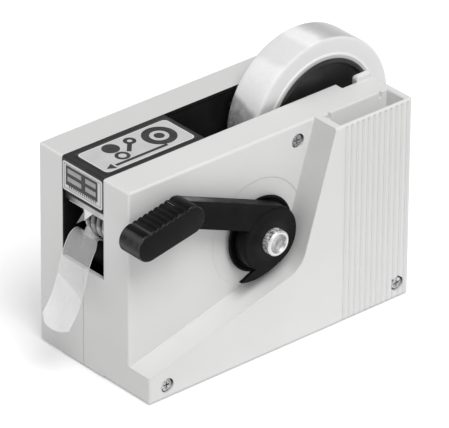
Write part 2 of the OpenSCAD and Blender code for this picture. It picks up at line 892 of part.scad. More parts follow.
// The arm runs from inside the hub to the grip, and its top edge falls on to the hub's rim
module arm_outline() {
    polygon([
        (hub_r - hub_cut) * unit(shoulder_a), [0, 0], arm_pt(hub_r / 2, arm_low),
        arm_pt(arm_reach - grip_r, arm_low), arm_pt(arm_reach - grip_r, arm_top), arm_pt(0, arm_top)
    ]);
}

module tail_outline() {
    polygon(concat(
        [[0, 0]],
        [for (a = sweep(tail_start_a, tail_tip_a, tail_steps)) tail_r(a) * unit(a)],
        [tail_root_r * unit(tail_root_a)]
    ));
}

module lever_arm() {
    profile = [
        [0, 0], [hub_r - hub_cut, 0], [hub_r, hub_cut], [hub_r, lever_t - fit], [hub_r - fit, lever_t],
        [0, lever_t]
    ];
    color(dark) case_frame() difference() {
        union() {
            turn_y(hub_at, lever_face) polygon(profile);
            along_y(lever_face + fit, lever_back - fit) difference() {
                translate(lever_at) arm_outline();
                translate(grip_at) rotate(grip_a) stadium(grip_r, grip_l);
            }
            along_y(lever_face + tail_in, lever_face + tail_in + tail_t) translate(lever_at) tail_outline();
            along_y(lever_face + tongue_in, lever_back - tongue_in) translate(lever_at) arm_tongue(0);
        }
        pin_y(lever_at, seat_r, lever_face + lever_t / 2, lever_back + over);
        pin_y(lever_at, thread_r, lever_face - over, lever_back);
    }
}

grip_at = [-2, 107.5];
grip_l = 32.6;
grip_a = 11;
grip_ribs = 8;
grip_rib_pitch = 4.1;
grip_rib_d = 0.9;
grip_rib_share = 0.45;
grip_cut = 0.8;
grip_fit = 0.1;

module stadium(r, l) {
    circle(r);
    translate([l, 0]) circle(r);
    translate([0, -r]) square([l, 2 * r]);
}

// The thumb side has rounded ribs, with a narrow valley between each two
module grip_outline(inset) {
    half = grip_rib_pitch * grip_rib_share;
    shares = [for (i = [-4:4]) i / 4];
    valley = [for (t = shares) [t * half, grip_r - grip_rib_d * pow(1 - abs(t) * grip_rib_share * 2, 2)]];
    translate(grip_at) rotate(grip_a) difference() {
        stadium(grip_r - inset, grip_l);
        for (i = [0:grip_ribs - 1]) translate([(i + 1 / 2) * grip_rib_pitch, 0])
            polygon(concat(valley, [[half, grip_r + over], [-half, grip_r + over]]));
    }
}

module lever_grip() {
    y1 = lever_back;
    y0 = lever_back - grip_t;
    color(dark) case_frame() difference() {
        union() {
            along_y(y0 + grip_cut, y1) grip_outline(0);
            along_y(y0, y0 + grip_cut + sliver) grip_outline(grip_cut / 2);
        }
        along_y(lever_face + tongue_in - grip_fit, lever_back - tongue_in + grip_fit)
            translate(lever_at) arm_tongue(grip_fit);
    }
}

spring_r = 10.6;
spring_wire_r = 0.8;
spring_turns = 4;
spring_y = inner_y + fit;
spring_stud_r = 1.5;

module return_spring() {
    steps = 16;
    sides = 6;
    rise = (gear_y - fit - spring_y - 2 * spring_wire_r) / spring_turns;
    count = round(steps * spring_turns);
    rings = [for (i = [0:count]) let (a = i * 360 / steps)
        [for (j = [0:sides - 1]) let (b = j * 360 / sides)
            [(spring_r + spring_wire_r * cos(b)) * cos(a), rise * i / steps - spring_wire_r * sin(b),
                (spring_r + spring_wire_r * cos(b)) * sin(a)]]];
    pts = [for (ring = rings) each ring];
    last = count * sides;
    faces = concat(
        [for (i = [0:count - 1], j = [0:sides - 1])
            let (p = i * sides + j, q = i * sides + (j + 1) % sides)
            each [[p, q, q + sides], [p, q + sides, p + sides]]],
        [for (j = [1:sides - 2]) [0, j + 1, j]],
        [for (j = [1:sides - 2]) [last, last + j, last + j + 1]]
    );
    color(steel) case_frame() translate([lever_x, spring_y + spring_wire_r, lever_z]) polyhedron(pts, faces);
}

module spring_stud() {
    at = lever_at + (spring_r + spring_wire_r + spring_stud_r + fit) * unit(90);
    color(steel) case_frame() pin_y(at, spring_stud_r, inner_y, inner_y + wall);
}

module idler_stud() {
    color(steel) case_frame() {
        pin_y(idler_at, idler_stud_r, gear_y - gear_hub_l, slot_y - sliver);
        tube_y(idler_at, idler_stud_r * 2, idler_stud_r - sliver, gear_end + hub_back + fit, plate_y);
    }
}

module idler_gear() {
    color("#e4e2dc") case_frame() difference() {
        union() {
            along_y(gear_y, gear_end) translate(idler_at) gear_outline(idler_n, idler_turn);
            pin_y(idler_at, idler_stud_r * 2, gear_y - hub_back, gear_end + hub_back);
        }
        pin_y(idler_at, idler_stud_r + run_fit, gear_y - over * 2, gear_end + over * 2);
    }
}

clutch_r = 5;

module pinion_gear() {
    color("#e4e2dc") case_frame() difference() {
        along_y(gear_y, gear_end) translate(drive_at) gear_outline(pinion_n, pinion_turn);
        pin_y(drive_at, clutch_r, gear_y - over, gear_end + over);
    }
}

module one_way_clutch() {
    color(steel) case_frame() tube_y(drive_at, clutch_r, drive_shaft_r, gear_y, gear_end);
}

module drive_shaft() {
    color(steel) case_frame()
        pin_y(drive_at, drive_shaft_r, gear_y - gear_hub_l, far_plate_y + plate_t + gear_hub_l);
}

sleeve_t = 3;
sleeve_in = 0.5;

module drive_core() {
    color("#8c8f92") case_frame() tube_y(drive_at, drive_r - sleeve_t, drive_shaft_r, roller_y0, roller_y1);
}

module drive_sleeve() {
    color("#1d1d1d") case_frame()
        bevel_tube_y(
            drive_at, drive_r, drive_r - sleeve_t, roller_y0 + sleeve_in, roller_y1 - sleeve_in, fit
        );
}

ring_core_r = 10.6;
ring_neck_r = 6;
ring_core_end = slot_y + 24.6;
band_wire_r = 1.5;
band_first = slot_y + 6.4;
band_count = 4;

module ring_axle() {
    color(steel) case_frame() pin_y(ring_at, ring_axle_r, plate_y, far_plate_y + plate_t);
}

// Body of the ring roller, with a groove for each band
module ring_roller() {
    y0 = slot_y + roller_side;
    y1 = slot_end - roller_side;
    color("#9b9b9b") case_frame() difference() {
        union() {
            tube_y(ring_at, ring_core_r, ring_axle_r + run_fit, roller_y0, ring_core_end);
            tube_y(ring_at, ring_neck_r, ring_axle_r + run_fit, y0, y1);
        }
        for (i = [0:band_count - 1]) band(i, 0);
    }
}

module band(i, grow) {
    translate([ring_x, band_first + i * band_pitch, ring_z]) rotate([90, 0, 0])
        rotate_extrude() translate([band_r - band_wire_r, 0]) circle(band_wire_r + grow, $fn = 24);
}

module ring_bands() {
    color("#ededed") case_frame() for (i = [0:band_count - 1]) band(i, 0);
}

module guide_axle() {
    color(steel) case_frame() pin_y(guide_at, guide_axle_r, plate_y, far_plate_y + plate_t);
}

module guide_roller() {
    color("#e4e2dc") case_frame() {
        difference() {
            union() {
                pin_y(guide_at, guide_r, roller_y0, roller_y1);
                for (y = [roller_y0 - guide_rim_t, roller_y1])
                    pin_y(guide_at, guide_r + guide_rim_h, y, y + guide_rim_t);
                pin_y(guide_at, guide_axle_r * 2, slot_y + roller_side, slot_end - roller_side);
            }
            pin_y(guide_at, guide_axle_r + run_fit, slot_y, slot_end);
        }
    }
}

// The roll and its hub

tape_side = 4.4;
tape_y = slot_y + tape_side;
axle_cap_r = 6;
axle_cap_t = 1.6;
clip_t = 1;
hub_gap = 0.05;
core_out = 0.2;

module roll_axle() {
    color(steel) case_frame() {
        pin_y(roll_at, axle_r, plate_y - plate_t, far_plate_y + plate_t * 2);
        for (y = [slot_y, slot_end - axle_cap_t]) pin_y(roll_at, axle_cap_r, y, y + axle_cap_t);
    }
}

module axle_clips() {
    color(dark) case_frame() {
        for (y = [plate_y - clip_t, far_plate_y + plate_t]) {
            tube_y(ring_at, ring_axle_r * 2, ring_axle_r - sliver, y, y + clip_t);
            tube_y(guide_at, guide_axle_r * 2, guide_axle_r - sliver, y, y + clip_t);
        }
    }
}

// Spool that fills the card core: lip, rim, cone and boss in one turned shape
spool_rim_w = 3.6;
spool_rim_in = 2;
spool_boss_r = axle_r + 4.5;
spool_end = 1.5;
spool_lip_r = core_r + 1.8;
spool_lip_t = 0.8;

module roll_hub() {
    w = tape_w;
    hole = axle_r + run_fit;
    rim = core_r - hub_gap;
    inner = rim - spool_rim_w;
    web = inner - spool_rim_w * 1.2;
    front_web = w * 0.34;
    rear_web = w * 0.46;
    profile = [
        [hole, -spool_end], [spool_boss_r, -spool_end], [spool_boss_r, front_web - spool_rim_in],
        [web - spool_rim_in, front_web], [web, front_web - spool_rim_w], [web, spool_rim_in],
        [inner, spool_rim_in], [inner, -spool_lip_t - fit], [spool_lip_r, -spool_lip_t - fit],
        [spool_lip_r, -fit], [rim, -fit], [rim, w], [inner, w], [inner, w - spool_rim_in],
        [web, w - spool_rim_in], [web, rear_web], [spool_boss_r + spool_rim_in, rear_web],
        [spool_boss_r, rear_web + spool_rim_in], [spool_boss_r, w + spool_end], [hole, w + spool_end]
    ];
    color(dark) case_frame() turn_y(roll_at, tape_y) polygon(profile);
}

module roll_core() {
    color("#f2efe6") case_frame()
        tube_y(roll_at, core_r + core_wall, core_r, tape_y - core_out, tape_y + tape_w + core_out);
}

module tape_roll() {
    color("#ececec") case_frame()
        bevel_tube_y(roll_at, roll_r, core_r + core_wall, tape_y, tape_y + tape_w, fit);
}

// Tape between the roll and the rollers, and the free end that hangs from the mouth

function over_tangent(c, r, from, to_r) =
    let (d = from - c, l = norm(d), a = atan2(d[1], d[0]))
    a + acos((r + to_r) / l);
web_gap = fit + tape_t / 2;
to_roll_a = over_tangent(guide_at, guide_r + web_gap, roll_at, roll_r + web_gap);
nip_at = [drive_x, nip_z];
to_nip_a = atan2(nip_z - guide_at[1], drive_x - guide_at[0])
    - acos((guide_r + web_gap) / norm(nip_at - guide_at));
run_pts = [
    nip_at,
    guide_at + (guide_r + web_gap) * unit(to_nip_a),
    guide_at + (guide_r + web_gap) * unit(to_roll_a),
    roll_at - (roll_r + web_gap) * unit(to_roll_a)
];
// Points along the free end, from the nip, forward and down over the sill
strip_steps = [
    [0, 0], [-5.5, 0.7], [-8.8, 2.4], [-11.6, 4.6], [-15, 5.6], [-18.9, 3.8], [-22, -0.4], [-24.8, -6.6],
    [-27, -14], [-29, -21.5], [-31.4, -28], [-34.2, -34], [-37.4, -39.2], [-40.6, -43.6]
];
strip_pts = [for (p = strip_steps) nip_at + p];
smooth_steps = 3;
function spline(p, q, r, s, t) =
    (2 * q + (r - p) * t + (2 * p - 5 * q + 4 * r - s) * t * t + (3 * q - p - 3 * r + s) * t * t * t) / 2;
function smooth(pts) =
    let (n = len(pts))
    concat(
        [for (i = [0:n - 2], k = [0:smooth_steps - 1])
            spline(pts[max(i - 1, 0)], pts[i], pts[i + 1], pts[min(i + 2, n - 1)], k / smooth_steps)],
        [pts[n - 1]]
    );
function side(pts, off) =
    [for (i = [0:len(pts) - 1])
        let (d = pts[min(i + 1, len(pts) - 1)] - pts[max(i - 1, 0)], u = d / norm(d))
        pts[i] + off * [-u[1], u[0]]];
function turned(list) = [for (i = [len(list) - 1:-1:0]) list[i]];

module ribbon(pts) {
    along_y(tape_y, tape_y + tape_w) polygon(concat(side(pts, tape_t / 2), turned(side(pts, -tape_t / 2))));
}

module tape_run() {
    color("#e8e8e8") case_frame() ribbon(run_pts);
}

module tape_strip() {
    color("#e8e8e8") case_frame() ribbon(smooth(strip_pts));
}

lever_side_shell();
far_side_shell();
near_side_plate();
far_side_plate();
tie_rods();
base_plate();
base_mat();
shell_screws();
plate_screws();
head_cover();
top_label();
front_label();
blade_holder();
cutter_blade();
lever_collar();
plate_bushes();
idler_stud();
ring_axle();
guide_axle();
roll_axle();
axle_clips();
return_spring();
spring_stud();
tape_run();
tape_strip();
lever_arm();
lever_grip();
lever_shaft();
lever_washer();
sector_gear();
sector_key();
thumb_nut();
idler_gear();
drive_shaft();
drive_core();
drive_sleeve();
pinion_gear();
one_way_clutch();
ring_roller();
ring_bands();
guide_roller();
tape_roll();
roll_core();
roll_hub();
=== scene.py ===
# %% [markdown]
# The finish of a packing tape dispenser. The frame holds every part of the dispenser at its real
# size: two moulded shells, the lever and its gears, the rollers, the cutter and the roll of tape.
# This lesson gives each of them its surface, and models what the frame leaves plain: the thin film,
# the wound roll, the printed labels and the soft edges of the lever. Blender counts in metres. A size
# that reads better in millimetres is written in them, and MM turns it into metres.

# %% Load the frame
import math

import bmesh
import bpy
from mathutils import Matrix, Vector


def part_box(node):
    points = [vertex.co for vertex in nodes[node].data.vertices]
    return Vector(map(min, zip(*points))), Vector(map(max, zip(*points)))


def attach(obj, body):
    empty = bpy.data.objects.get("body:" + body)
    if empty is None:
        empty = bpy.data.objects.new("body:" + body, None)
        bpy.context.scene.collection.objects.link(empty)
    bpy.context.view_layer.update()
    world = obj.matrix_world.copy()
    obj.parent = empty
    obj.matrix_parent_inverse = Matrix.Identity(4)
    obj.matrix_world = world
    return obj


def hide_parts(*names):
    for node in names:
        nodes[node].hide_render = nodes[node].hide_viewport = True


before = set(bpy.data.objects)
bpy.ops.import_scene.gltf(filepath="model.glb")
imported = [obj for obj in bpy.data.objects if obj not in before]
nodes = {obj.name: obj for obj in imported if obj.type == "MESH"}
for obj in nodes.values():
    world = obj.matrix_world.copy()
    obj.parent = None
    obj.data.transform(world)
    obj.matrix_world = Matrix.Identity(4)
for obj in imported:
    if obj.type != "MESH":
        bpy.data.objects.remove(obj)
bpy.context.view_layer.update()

MM = 0.001
print("parts in the frame:", len(nodes))

# %% [markdown]
# The camera stands about 3.6 m away with a long lens, which is how a product is photographed: its
# upright edges stay nearly parallel. It could be turned by hand until the picture looks right, but
# four numbers say it better: the angle round the dispenser, the angle above the bench, a slight tilt
# of the camera itself, and the point that it looks at.

# %% Camera
VIEW_ROUND = math.radians(-41.05)
VIEW_ABOVE = math.radians(29.44)
VIEW_TILT = math.radians(0.44)
VIEW_POINT = Vector((8.62, 11.83, 62.0)) * MM
VIEW_DISTANCE = 3.605
LENS = 485.6
SENSOR = 36.0


def add_camera():
    """A camera that looks at VIEW_POINT, turned a little about its own line of sight."""
    back = Vector((
        math.sin(VIEW_ROUND) * math.cos(VIEW_ABOVE),
        -math.cos(VIEW_ROUND) * math.cos(VIEW_ABOVE),
        math.sin(VIEW_ABOVE),
    ))
    level = Vector((math.cos(VIEW_ROUND), math.sin(VIEW_ROUND), 0.0))
    up = back.cross(level)
    right = math.cos(VIEW_TILT) * level + math.sin(VIEW_TILT) * up
    up = back.cross(right)
    data = bpy.data.cameras.new("camera")
    data.sensor_fit = "HORIZONTAL"
    data.sensor_width = SENSOR
    data.lens = LENS
    data.clip_start = 0.1
    data.clip_end = 50.0
    camera = bpy.data.objects.new("camera", data)
    bpy.context.scene.collection.objects.link(camera)
    axes = Matrix((right, up, back)).transposed().to_4x4()
    camera.matrix_world = Matrix.Translation(VIEW_POINT + VIEW_DISTANCE * back) @ axes
    bpy.context.scene.camera = camera
    print("camera at", [round(v, 3) for v in camera.matrix_world.translation])


add_camera()

# %% [markdown]
# The light and every finish are node graphs, and a few small helpers keep them readable. Each adds a
# node or two, and takes a plain value wherever it takes a socket. A finish starts from one Principled
# shader. Patterns are placed by Object coordinates, which on this model are plain metres, so a grain
# of half a millimetre is written as just that. A bump is always fine and shallow, and the shape
# itself stays with the mesh.

# %% Helpers for node graphs
# A wave texture counts this many radians in each unit of length.
WAVE_STEP = 20.0


def join(finish, source, target):
    """Links a socket to an input, or sets a plain value on it."""
    if isinstance(source, bpy.types.NodeSocket):
        finish.node_tree.links.new(source, target)
    else:
        target.default_value = source


def add_node(finish, kind, inputs=(), **options):
    """Adds one node to a finish, or to the world, sets its options, then fills its inputs."""
    node = finish.node_tree.nodes.new("ShaderNode" + kind)
    for option, value in options.items():
        setattr(node, option, value)
    for socket, value in dict(inputs).items():
        join(finish, value, node.inputs[socket])
    return node


def feed(finish, socket, value):
    """Joins a value to a socket of the finish's own shader."""
    join(finish, value, finish.node_tree.nodes["Principled BSDF"].inputs[socket])


def start_finish(name, colour, roughness, metallic=0.0, specular=0.5):
    """A material with one Principled shader, and plain values on that shader's own sockets."""
    finish = bpy.data.materials.new(name)
    finish.use_nodes = True
    finish.diffuse_color = (*colour, 1.0)
    feed(finish, "Base Color", (*colour, 1.0))
    feed(finish, "Roughness", roughness)
    feed(finish, "Metallic", metallic)
    feed(finish, "Specular IOR Level", specular)
    return finish


def grey(tone, warmth=0.0):
    """A neutral colour. A little warmth takes away some of its blue."""
    return (tone, tone, tone - warmth)


def scaled(colour, share):
    return tuple(share * v for v in colour)


def combine(finish, operation, first, second=0.0):
    """Arithmetic on two values."""
    return add_node(finish, "Math", {0: first, 1: second}, operation=operation).outputs[0]


def product(finish, mask, *others):
    """All masks at once: 1 only where each of them is 1."""
    for other in others:
        mask = combine(finish, "MULTIPLY", mask, other)
    return mask


def spread(finish, value, low, high, to_low=0.0, to_high=1.0):
    """Maps one range of a pattern on another, clamped."""
    return add_node(finish, "MapRange", {
        "Value": value, "From Min": low, "From Max": high, "To Min": to_low, "To Max": to_high,
    }).outputs["Result"]


def fade(finish, distance, start, end, first=0.0, last=1.0):
    """Goes from first to last as a distance goes from start to end, which are in millimetres."""
    return spread(finish, distance, start * MM, end * MM, first, last)


def blend_colours(finish, mask, first, second):
    """Goes from the first colour to the second as the mask goes from 0 to 1."""
    mix = add_node(finish, "MixRGB", {"Fac": mask})
    for colour, socket in ((first, "Color1"), (second, "Color2")):
        join(finish, (*colour, 1.0) if isinstance(colour, tuple) else colour, mix.inputs[socket])
    return mix.outputs["Color"]


def mottle(finish, pattern, low, high, first, second):
    """Goes from the first colour to the second as a pattern goes from low to high."""
    return blend_colours(finish, spread(finish, pattern, low, high), first, second)


def dot(finish, first, second):
    """How far one vector goes along another."""
    return add_node(finish, "VectorMath", {0: first, 1: second}, operation="DOT_PRODUCT").outputs["Value"]


def place_pattern(finish, centre=(0, 0, 0), stretch=(1, 1, 1)):
    """Metres on the object, measured from a centre and stretched along the axes."""
    place = add_node(finish, "TexCoord").outputs["Object"]
    place = add_node(finish, "VectorMath", {0: place, 1: centre}, operation="SUBTRACT").outputs[0]
    return add_node(finish, "VectorMath", {0: place, 1: stretch}, operation="MULTIPLY").outputs[0]


def split(finish, vector):
    return add_node(finish, "SeparateXYZ", {0: vector}).outputs


def off_axis(finish, centre):
    """Distance from a line through the centre along Y."""
    flat = place_pattern(finish, centre, (1, 0, 1))
    return add_node(finish, "VectorMath", {0: flat}, operation="LENGTH").outputs["Value"]


def middle(node):
    low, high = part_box(node)
    return (low + high) / 2


def outer_mask(finish, node, insets):
    """1 on the outermost part of a round node: from one inset to another, in millimetres below its rim."""
    low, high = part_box(node)
    radius = (high.z - low.z) / 2
    return spread(finish, off_axis(finish, middle(node)), *(radius - inset * MM for inset in insets))


def add_noise(finish, place, size, detail=2.0, roughness=0.5):
    """Soft noise whose lumps measure about `size` millimetres."""
    return add_node(finish, "TexNoise", {
        "Vector": place, "Scale": 1 / (size * MM), "Detail": detail, "Roughness": roughness,
    }).outputs["Fac"]


def add_rings(finish, place, pitch, distortion=1.5, detail=2.0, detail_scale=0.5):
    """Rings round the Y axis, `pitch` millimetres apart: lathe marks, or the turns of a roll."""
    return add_node(finish, "TexWave", {
        "Vector": place, "Scale": 2 * math.pi / (WAVE_STEP * pitch * MM),
        "Distortion": distortion, "Detail": detail, "Detail Scale": detail_scale,
    }, wave_type="RINGS", rings_direction="Y").outputs["Fac"]


def round_edges(finish, radius):
    """A normal that rolls over sharp edges, as every moulded or filed edge does; radius in millimetres."""
    return add_node(finish, "Bevel", {"Radius": radius * MM}, samples=6).outputs["Normal"]


def edge_mask(finish, rolled, strength, least=0.93, most=0.75):
    """0 on flat faces, up to a strength along rounded edges, where the rolled normal leaves the true one. It
    carries the painted highlights and the painted shade along edges.
    """
    true_normal = add_node(finish, "NewGeometry").outputs["Normal"]
    return spread(finish, dot(finish, rolled, true_normal), most, least, strength, 0)


def facing(finish, direction, least, most):
    """1 on faces that look along a direction, 0 on the others."""
    true_normal = add_node(finish, "NewGeometry").outputs["Normal"]
    return spread(finish, dot(finish, true_normal, Vector(direction).normalized()), least, most)


def add_relief(finish, height, depth, rolled=None):
    """Fine relief, `depth` millimetres deep, over the rolled edges if those are given."""
    bump = add_node(finish, "Bump", {"Strength": 1.0, "Distance": depth * MM, "Height": height})
    if rolled is not None:
        join(finish, rolled, bump.inputs["Normal"])
    feed(finish, "Normal", bump.outputs["Normal"])


def close_finish(finish, tone, pattern, rough, height, depth, rolled=None):
    """Feeds the shader its tone, a roughness that follows a pattern, and its relief."""
    feed(finish, "Base Color", tone)
    feed(finish, "Roughness", spread(finish, pattern, 0.3, 0.7, *rough))
    add_relief(finish, height, depth, rolled)
    return finish


def lay_over(finish, *layers):
    """Lays more tones over a finish's tone. A layer is a mask and a colour."""
    socket = finish.node_tree.nodes["Principled BSDF"].inputs["Base Color"]
    tone = socket.links[0].from_socket
    for mask, colour in layers:
        tone = blend_colours(finish, mask, tone, colour)
    join(finish, tone, socket)
    return finish


print("graph helpers ready")

# %% [markdown]
# A product photographer lights a pale case from above with one big soft source, and lets a white
# table fill in the shaded sides. A sun lamp with a wide disc gives such soft light evenly over the
# whole table, and the world gives the rest. The levels add up to about one on a surface that faces
# up, so a colour comes out about as it is written.

# %% Light
KEY_LEVEL = 0.63
KEY_HEIGHT = math.radians(59)
KEY_ROUND = math.radians(-12)
KEY_SOFTNESS = math.radians(34)
SKY_LEVEL = 0.58
MIRROR_LEVEL = 0.38


def add_key_light():
    """The large lamp above the lever side. A sun's strength counts per area, hence the factor pi."""
    data = bpy.data.lights.new("key_light", "SUN")
    data.energy = KEY_LEVEL * math.pi
    data.angle = KEY_SOFTNESS
    lamp = bpy.data.objects.new("key_light", data)
    bpy.context.scene.collection.objects.link(lamp)
    lamp.rotation_euler = (math.pi / 2 - KEY_HEIGHT, 0, KEY_ROUND)
    print("key light, degrees above the bench:", round(math.degrees(KEY_HEIGHT)))


def light_the_world():
    """Even light from all round. The camera sees plain white instead, and shiny surfaces a dim studio."""
    world = bpy.data.worlds.new("studio")
    bpy.context.scene.world = world
    world.use_nodes = True
    world.node_tree.nodes.clear()
    path = add_node(world, "LightPath").outputs
    clear = combine(world, "MAXIMUM", path["Is Camera Ray"], path["Is Transmission Ray"])
    dim = spread(world, path["Is Glossy Ray"], 0, 1, SKY_LEVEL, MIRROR_LEVEL)
    sky = add_node(world, "Background", {"Strength": spread(world, clear, 0, 1, dim, 1)})
    add_node(world, "OutputWorld", {"Surface": sky.outputs["Background"]})


add_key_light()
light_the_world()
bpy.context.scene.view_settings.view_transform = "Standard"

# %% [markdown]
# Pieces of our own start from a primitive, or from a copy of a part's mesh. A part's mesh is loose
# triangles, so its copy is merged first and its flat faces are joined again. Every operator acts on
# what is selected, so each helper first selects just the piece or the edges that it works on.

# %% Helpers for pieces
def pick(*pieces):
    """Selects these objects and nothing else; the last one is active."""
    bpy.ops.object.select_all(action="DESELECT")
    for piece in pieces:
        piece.select_set(True)
    bpy.context.view_layer.objects.active = pieces[-1]


def give_finish(piece, finish):
    piece.data.materials.clear()
    piece.data.materials.append(finish)


def apply_modifier(piece, kind, **options):
    modifier = piece.modifiers.new(kind.lower(), kind)
    for option, value in options.items():
        setattr(modifier, option, value)
    pick(piece)
    bpy.ops.object.modifier_apply(modifier=modifier.name)


def copy_part(node, name):
    """A merged copy of a part, with its triangles joined into flat faces."""
    piece = bpy.data.objects.new(name, nodes[node].data.copy())
    bpy.context.scene.collection.objects.link(piece)
    pick(piece)
    bpy.ops.object.mode_set(mode="EDIT")
    bpy.ops.mesh.select_all(action="SELECT")
    bpy.ops.mesh.remove_doubles(threshold=0.002 * MM)
    bpy.ops.mesh.dissolve_limited(angle_limit=math.radians(0.5))
    bpy.ops.object.mode_set(mode="OBJECT")
    return piece


def soften(piece, width, least_angle):
    """Rounds every edge sharper than an angle."""
    apply_modifier(piece, "BEVEL", width=width, segments=3, limit_method="ANGLE",
                   angle_limit=math.radians(least_angle), use_clamp_overlap=True)
    bpy.ops.object.shade_smooth_by_angle(angle=math.radians(35))


def select_edges(piece, test):
    """In edit mode, selects just the edges that pass a test."""
    bpy.ops.mesh.select_mode(type="EDGE")
    bpy.ops.mesh.select_all(action="DESELECT")
    mesh = bmesh.from_edit_mesh(piece.data)
    for edge in mesh.edges:
        if test(edge):
            edge.select_set(True)
    bmesh.update_edit_mesh(piece.data)


print("piece helpers ready")

# %% [markdown]
# The table is white paper that runs past the picture on every side. It catches the soft shadow
# under the dispenser, and throws light back on the sides of the case.

# %% Table
TABLE_REACH = 30.0
TABLE_WHITE = 0.84
TABLE_GLOW = 0.26


def finish_table():
    finish = start_finish("white_paper", grey(TABLE_WHITE), 1.0, specular=0.0)
    tooth = add_noise(finish, place_pattern(finish), 6, 3.0)
    path = add_node(finish, "LightPath").outputs
    seen = combine(finish, "MAXIMUM", path["Is Camera Ray"], path["Is Glossy Ray"])
    feed(finish, "Base Color", blend_colours(finish, tooth, grey(TABLE_WHITE), grey(TABLE_WHITE + 0.01)))
    feed(finish, "Emission Strength", spread(finish, seen, 0, 1, 0, TABLE_GLOW))
    feed(finish, "Emission Color", (1, 1, 1, 1))
    return finish


bpy.ops.object.select_all(action="DESELECT")
bpy.ops.mesh.primitive_plane_add(size=TABLE_REACH, location=(0, 0, 0))
table = bpy.context.object
table.name = "table"
table.data.materials.append(finish_table())
print("table", TABLE_REACH, "m across")

# %% [markdown]
# The case is moulded in pale grey ABS from a spark-eroded tool, which leaves a fine matt grain, a
# hardly visible unevenness of tone, and edges that are rounded by the tool. One shader makes all of
# that from noise of three sizes and a rolled normal.
#
# Some faces are paler or darker than one lamp and an even sky make them: the front and the pocket
# pick up more light, and the far top, the rise and the edges less. Each gets a tone of its own
# through a mask, worked out from a place on the case or from the way that a face looks.

# %% Case plastic
# The axes of the shell screws, and where the mask of their recesses starts and ends, in millimetres
SCREW_AXES = ((27.9, 122.8), (-88.5, 9.1), (92.5, 10.4))
RECESS_EDGE = (4.75, 4.67)

# Where the mask of the mouth starts and ends, in millimetres from the front and sides of the cover
MOUTH_DEPTH = (0.2, 0.5)
MOUTH_MARGIN = (0.5, 0.8)

# Where the other masks start and end, in millimetres along the frame's axes
POCKET_FRONT = (46.0, 46.6)
POCKET_NEAR_WALL = (-47.6, -47.0)
POCKET_FAR_WALL = (-32.5, -32.3)
POCKET_TOP = (132.9, 133.3)
FAR_TOP = (0.0, 10.0)
FRONT_FACE = (-101.0, -100.0)
FRONT_HEIGHT = (25.0, 110.0)
RISE_START = (-30.0, -20.0)
RISE_END = (47.0, 48.0)


def case_grey(tone):
    """The case's grey has a little less blue than a neutral one."""
    return grey(tone, 0.005)


def mouth_mask(finish, at):
    """1 on the side walls of the mouth, just behind the front face, which the finish makes near black."""
    low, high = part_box("head_cover")
    half = (high.y - low.y) / 2
    off_centre = combine(finish, "ABSOLUTE", combine(finish, "SUBTRACT", at["Y"], (low.y + high.y) / 2))
    return product(
        finish,
        spread(finish, at["X"], *(low.x + depth * MM for depth in MOUTH_DEPTH)),
        spread(finish, off_centre, *(half + margin * MM for margin in MOUTH_MARGIN), 1, 0),
        combine(finish, "MAXIMUM", *(facing(finish, (0, side, 0), 0.7, 0.9) for side in (-1, 1))),
    )


def screw_distance(finish):
    """Distance from the nearest axis of the three shell screws."""
    distances = [off_axis(finish, Vector((x, 0, z)) * MM) for x, z in SCREW_AXES]
    nearest = distances.pop()
    for distance in distances:
        nearest = combine(finish, "MINIMUM", nearest, distance)
    return nearest


def recess_mask(finish):
    """1 in the screws' recesses, where no light gets behind the heads; lighter on their lower walls."""
    wall = combine(finish, "SUBTRACT", 1, facing(finish, (0, -1, 0), 0.8, 0.95))
    upper = combine(finish, "SUBTRACT", 1, facing(finish, (-0.3, 0, 1), -0.1, 0.8))
    return product(finish, fade(finish, screw_distance(finish), *RECESS_EDGE), wall, upper)


def pocket_mask(finish, at):
    """1 on the walls inside the storage pocket."""
    return product(
        finish,
        fade(finish, at["Y"], *POCKET_FAR_WALL, 1, 0), fade(finish, at["Y"], *POCKET_NEAR_WALL),
        fade(finish, at["X"], *POCKET_FRONT), fade(finish, at["Z"], *POCKET_TOP, 1, 0),
    )


def face_masks(finish, at):
    """The far top, the front and the rise beside the lever."""
    upward = facing(finish, (0, 0, 1), 0.9, 0.99)
    forward = facing(finish, (-1, 0, 0), 0.4, 0.7)
    frontmost = fade(finish, at["X"], *FRONT_FACE, 1, 0)
    return (
        product(finish, upward, fade(finish, at["Y"], *FAR_TOP, 0, 0.8)),
        product(finish, forward, frontmost, fade(finish, at["Z"], *FRONT_HEIGHT)),
        product(finish, forward, fade(finish, at["X"], *RISE_START), fade(finish, at["X"], *RISE_END, 1, 0)),
    )


def finish_case():
    finish = start_finish("pale_grey_abs", case_grey(0.745), 0.5, specular=0.35)
    place = place_pattern(finish)
    at = split(finish, place)
    cloud = add_noise(finish, place, 70, 3.0)
    speck = add_noise(finish, place, 1.1, 2.0, 0.7)
    grain = add_noise(finish, place, 0.45, 2.0, 0.6)
    rolled = round_edges(finish, 0.9)
    far_top, front, rise = face_masks(finish, at)
    tone = mottle(finish, cloud, 0.35, 0.65, case_grey(0.73), case_grey(0.76))
    close_finish(finish, tone, speck, (0.44, 0.58), grain, 0.02, rolled)
    return lay_over(
        finish,
        (spread(finish, speck, 0.62, 0.75, 0, 0.25), case_grey(0.68)),
        (edge_mask(finish, rolled, 0.9, 0.985, 0.85), case_grey(0.64)),
        (far_top, case_grey(0.66)), (pocket_mask(finish, at), case_grey(0.86)),
        (front, case_grey(0.81)), (rise, case_grey(0.66)),
        (mouth_mask(finish, at), grey(0.012)), (recess_mask(finish), grey(0.03)),
    )


case_finish = finish_case()
print("finish:", case_finish.name)
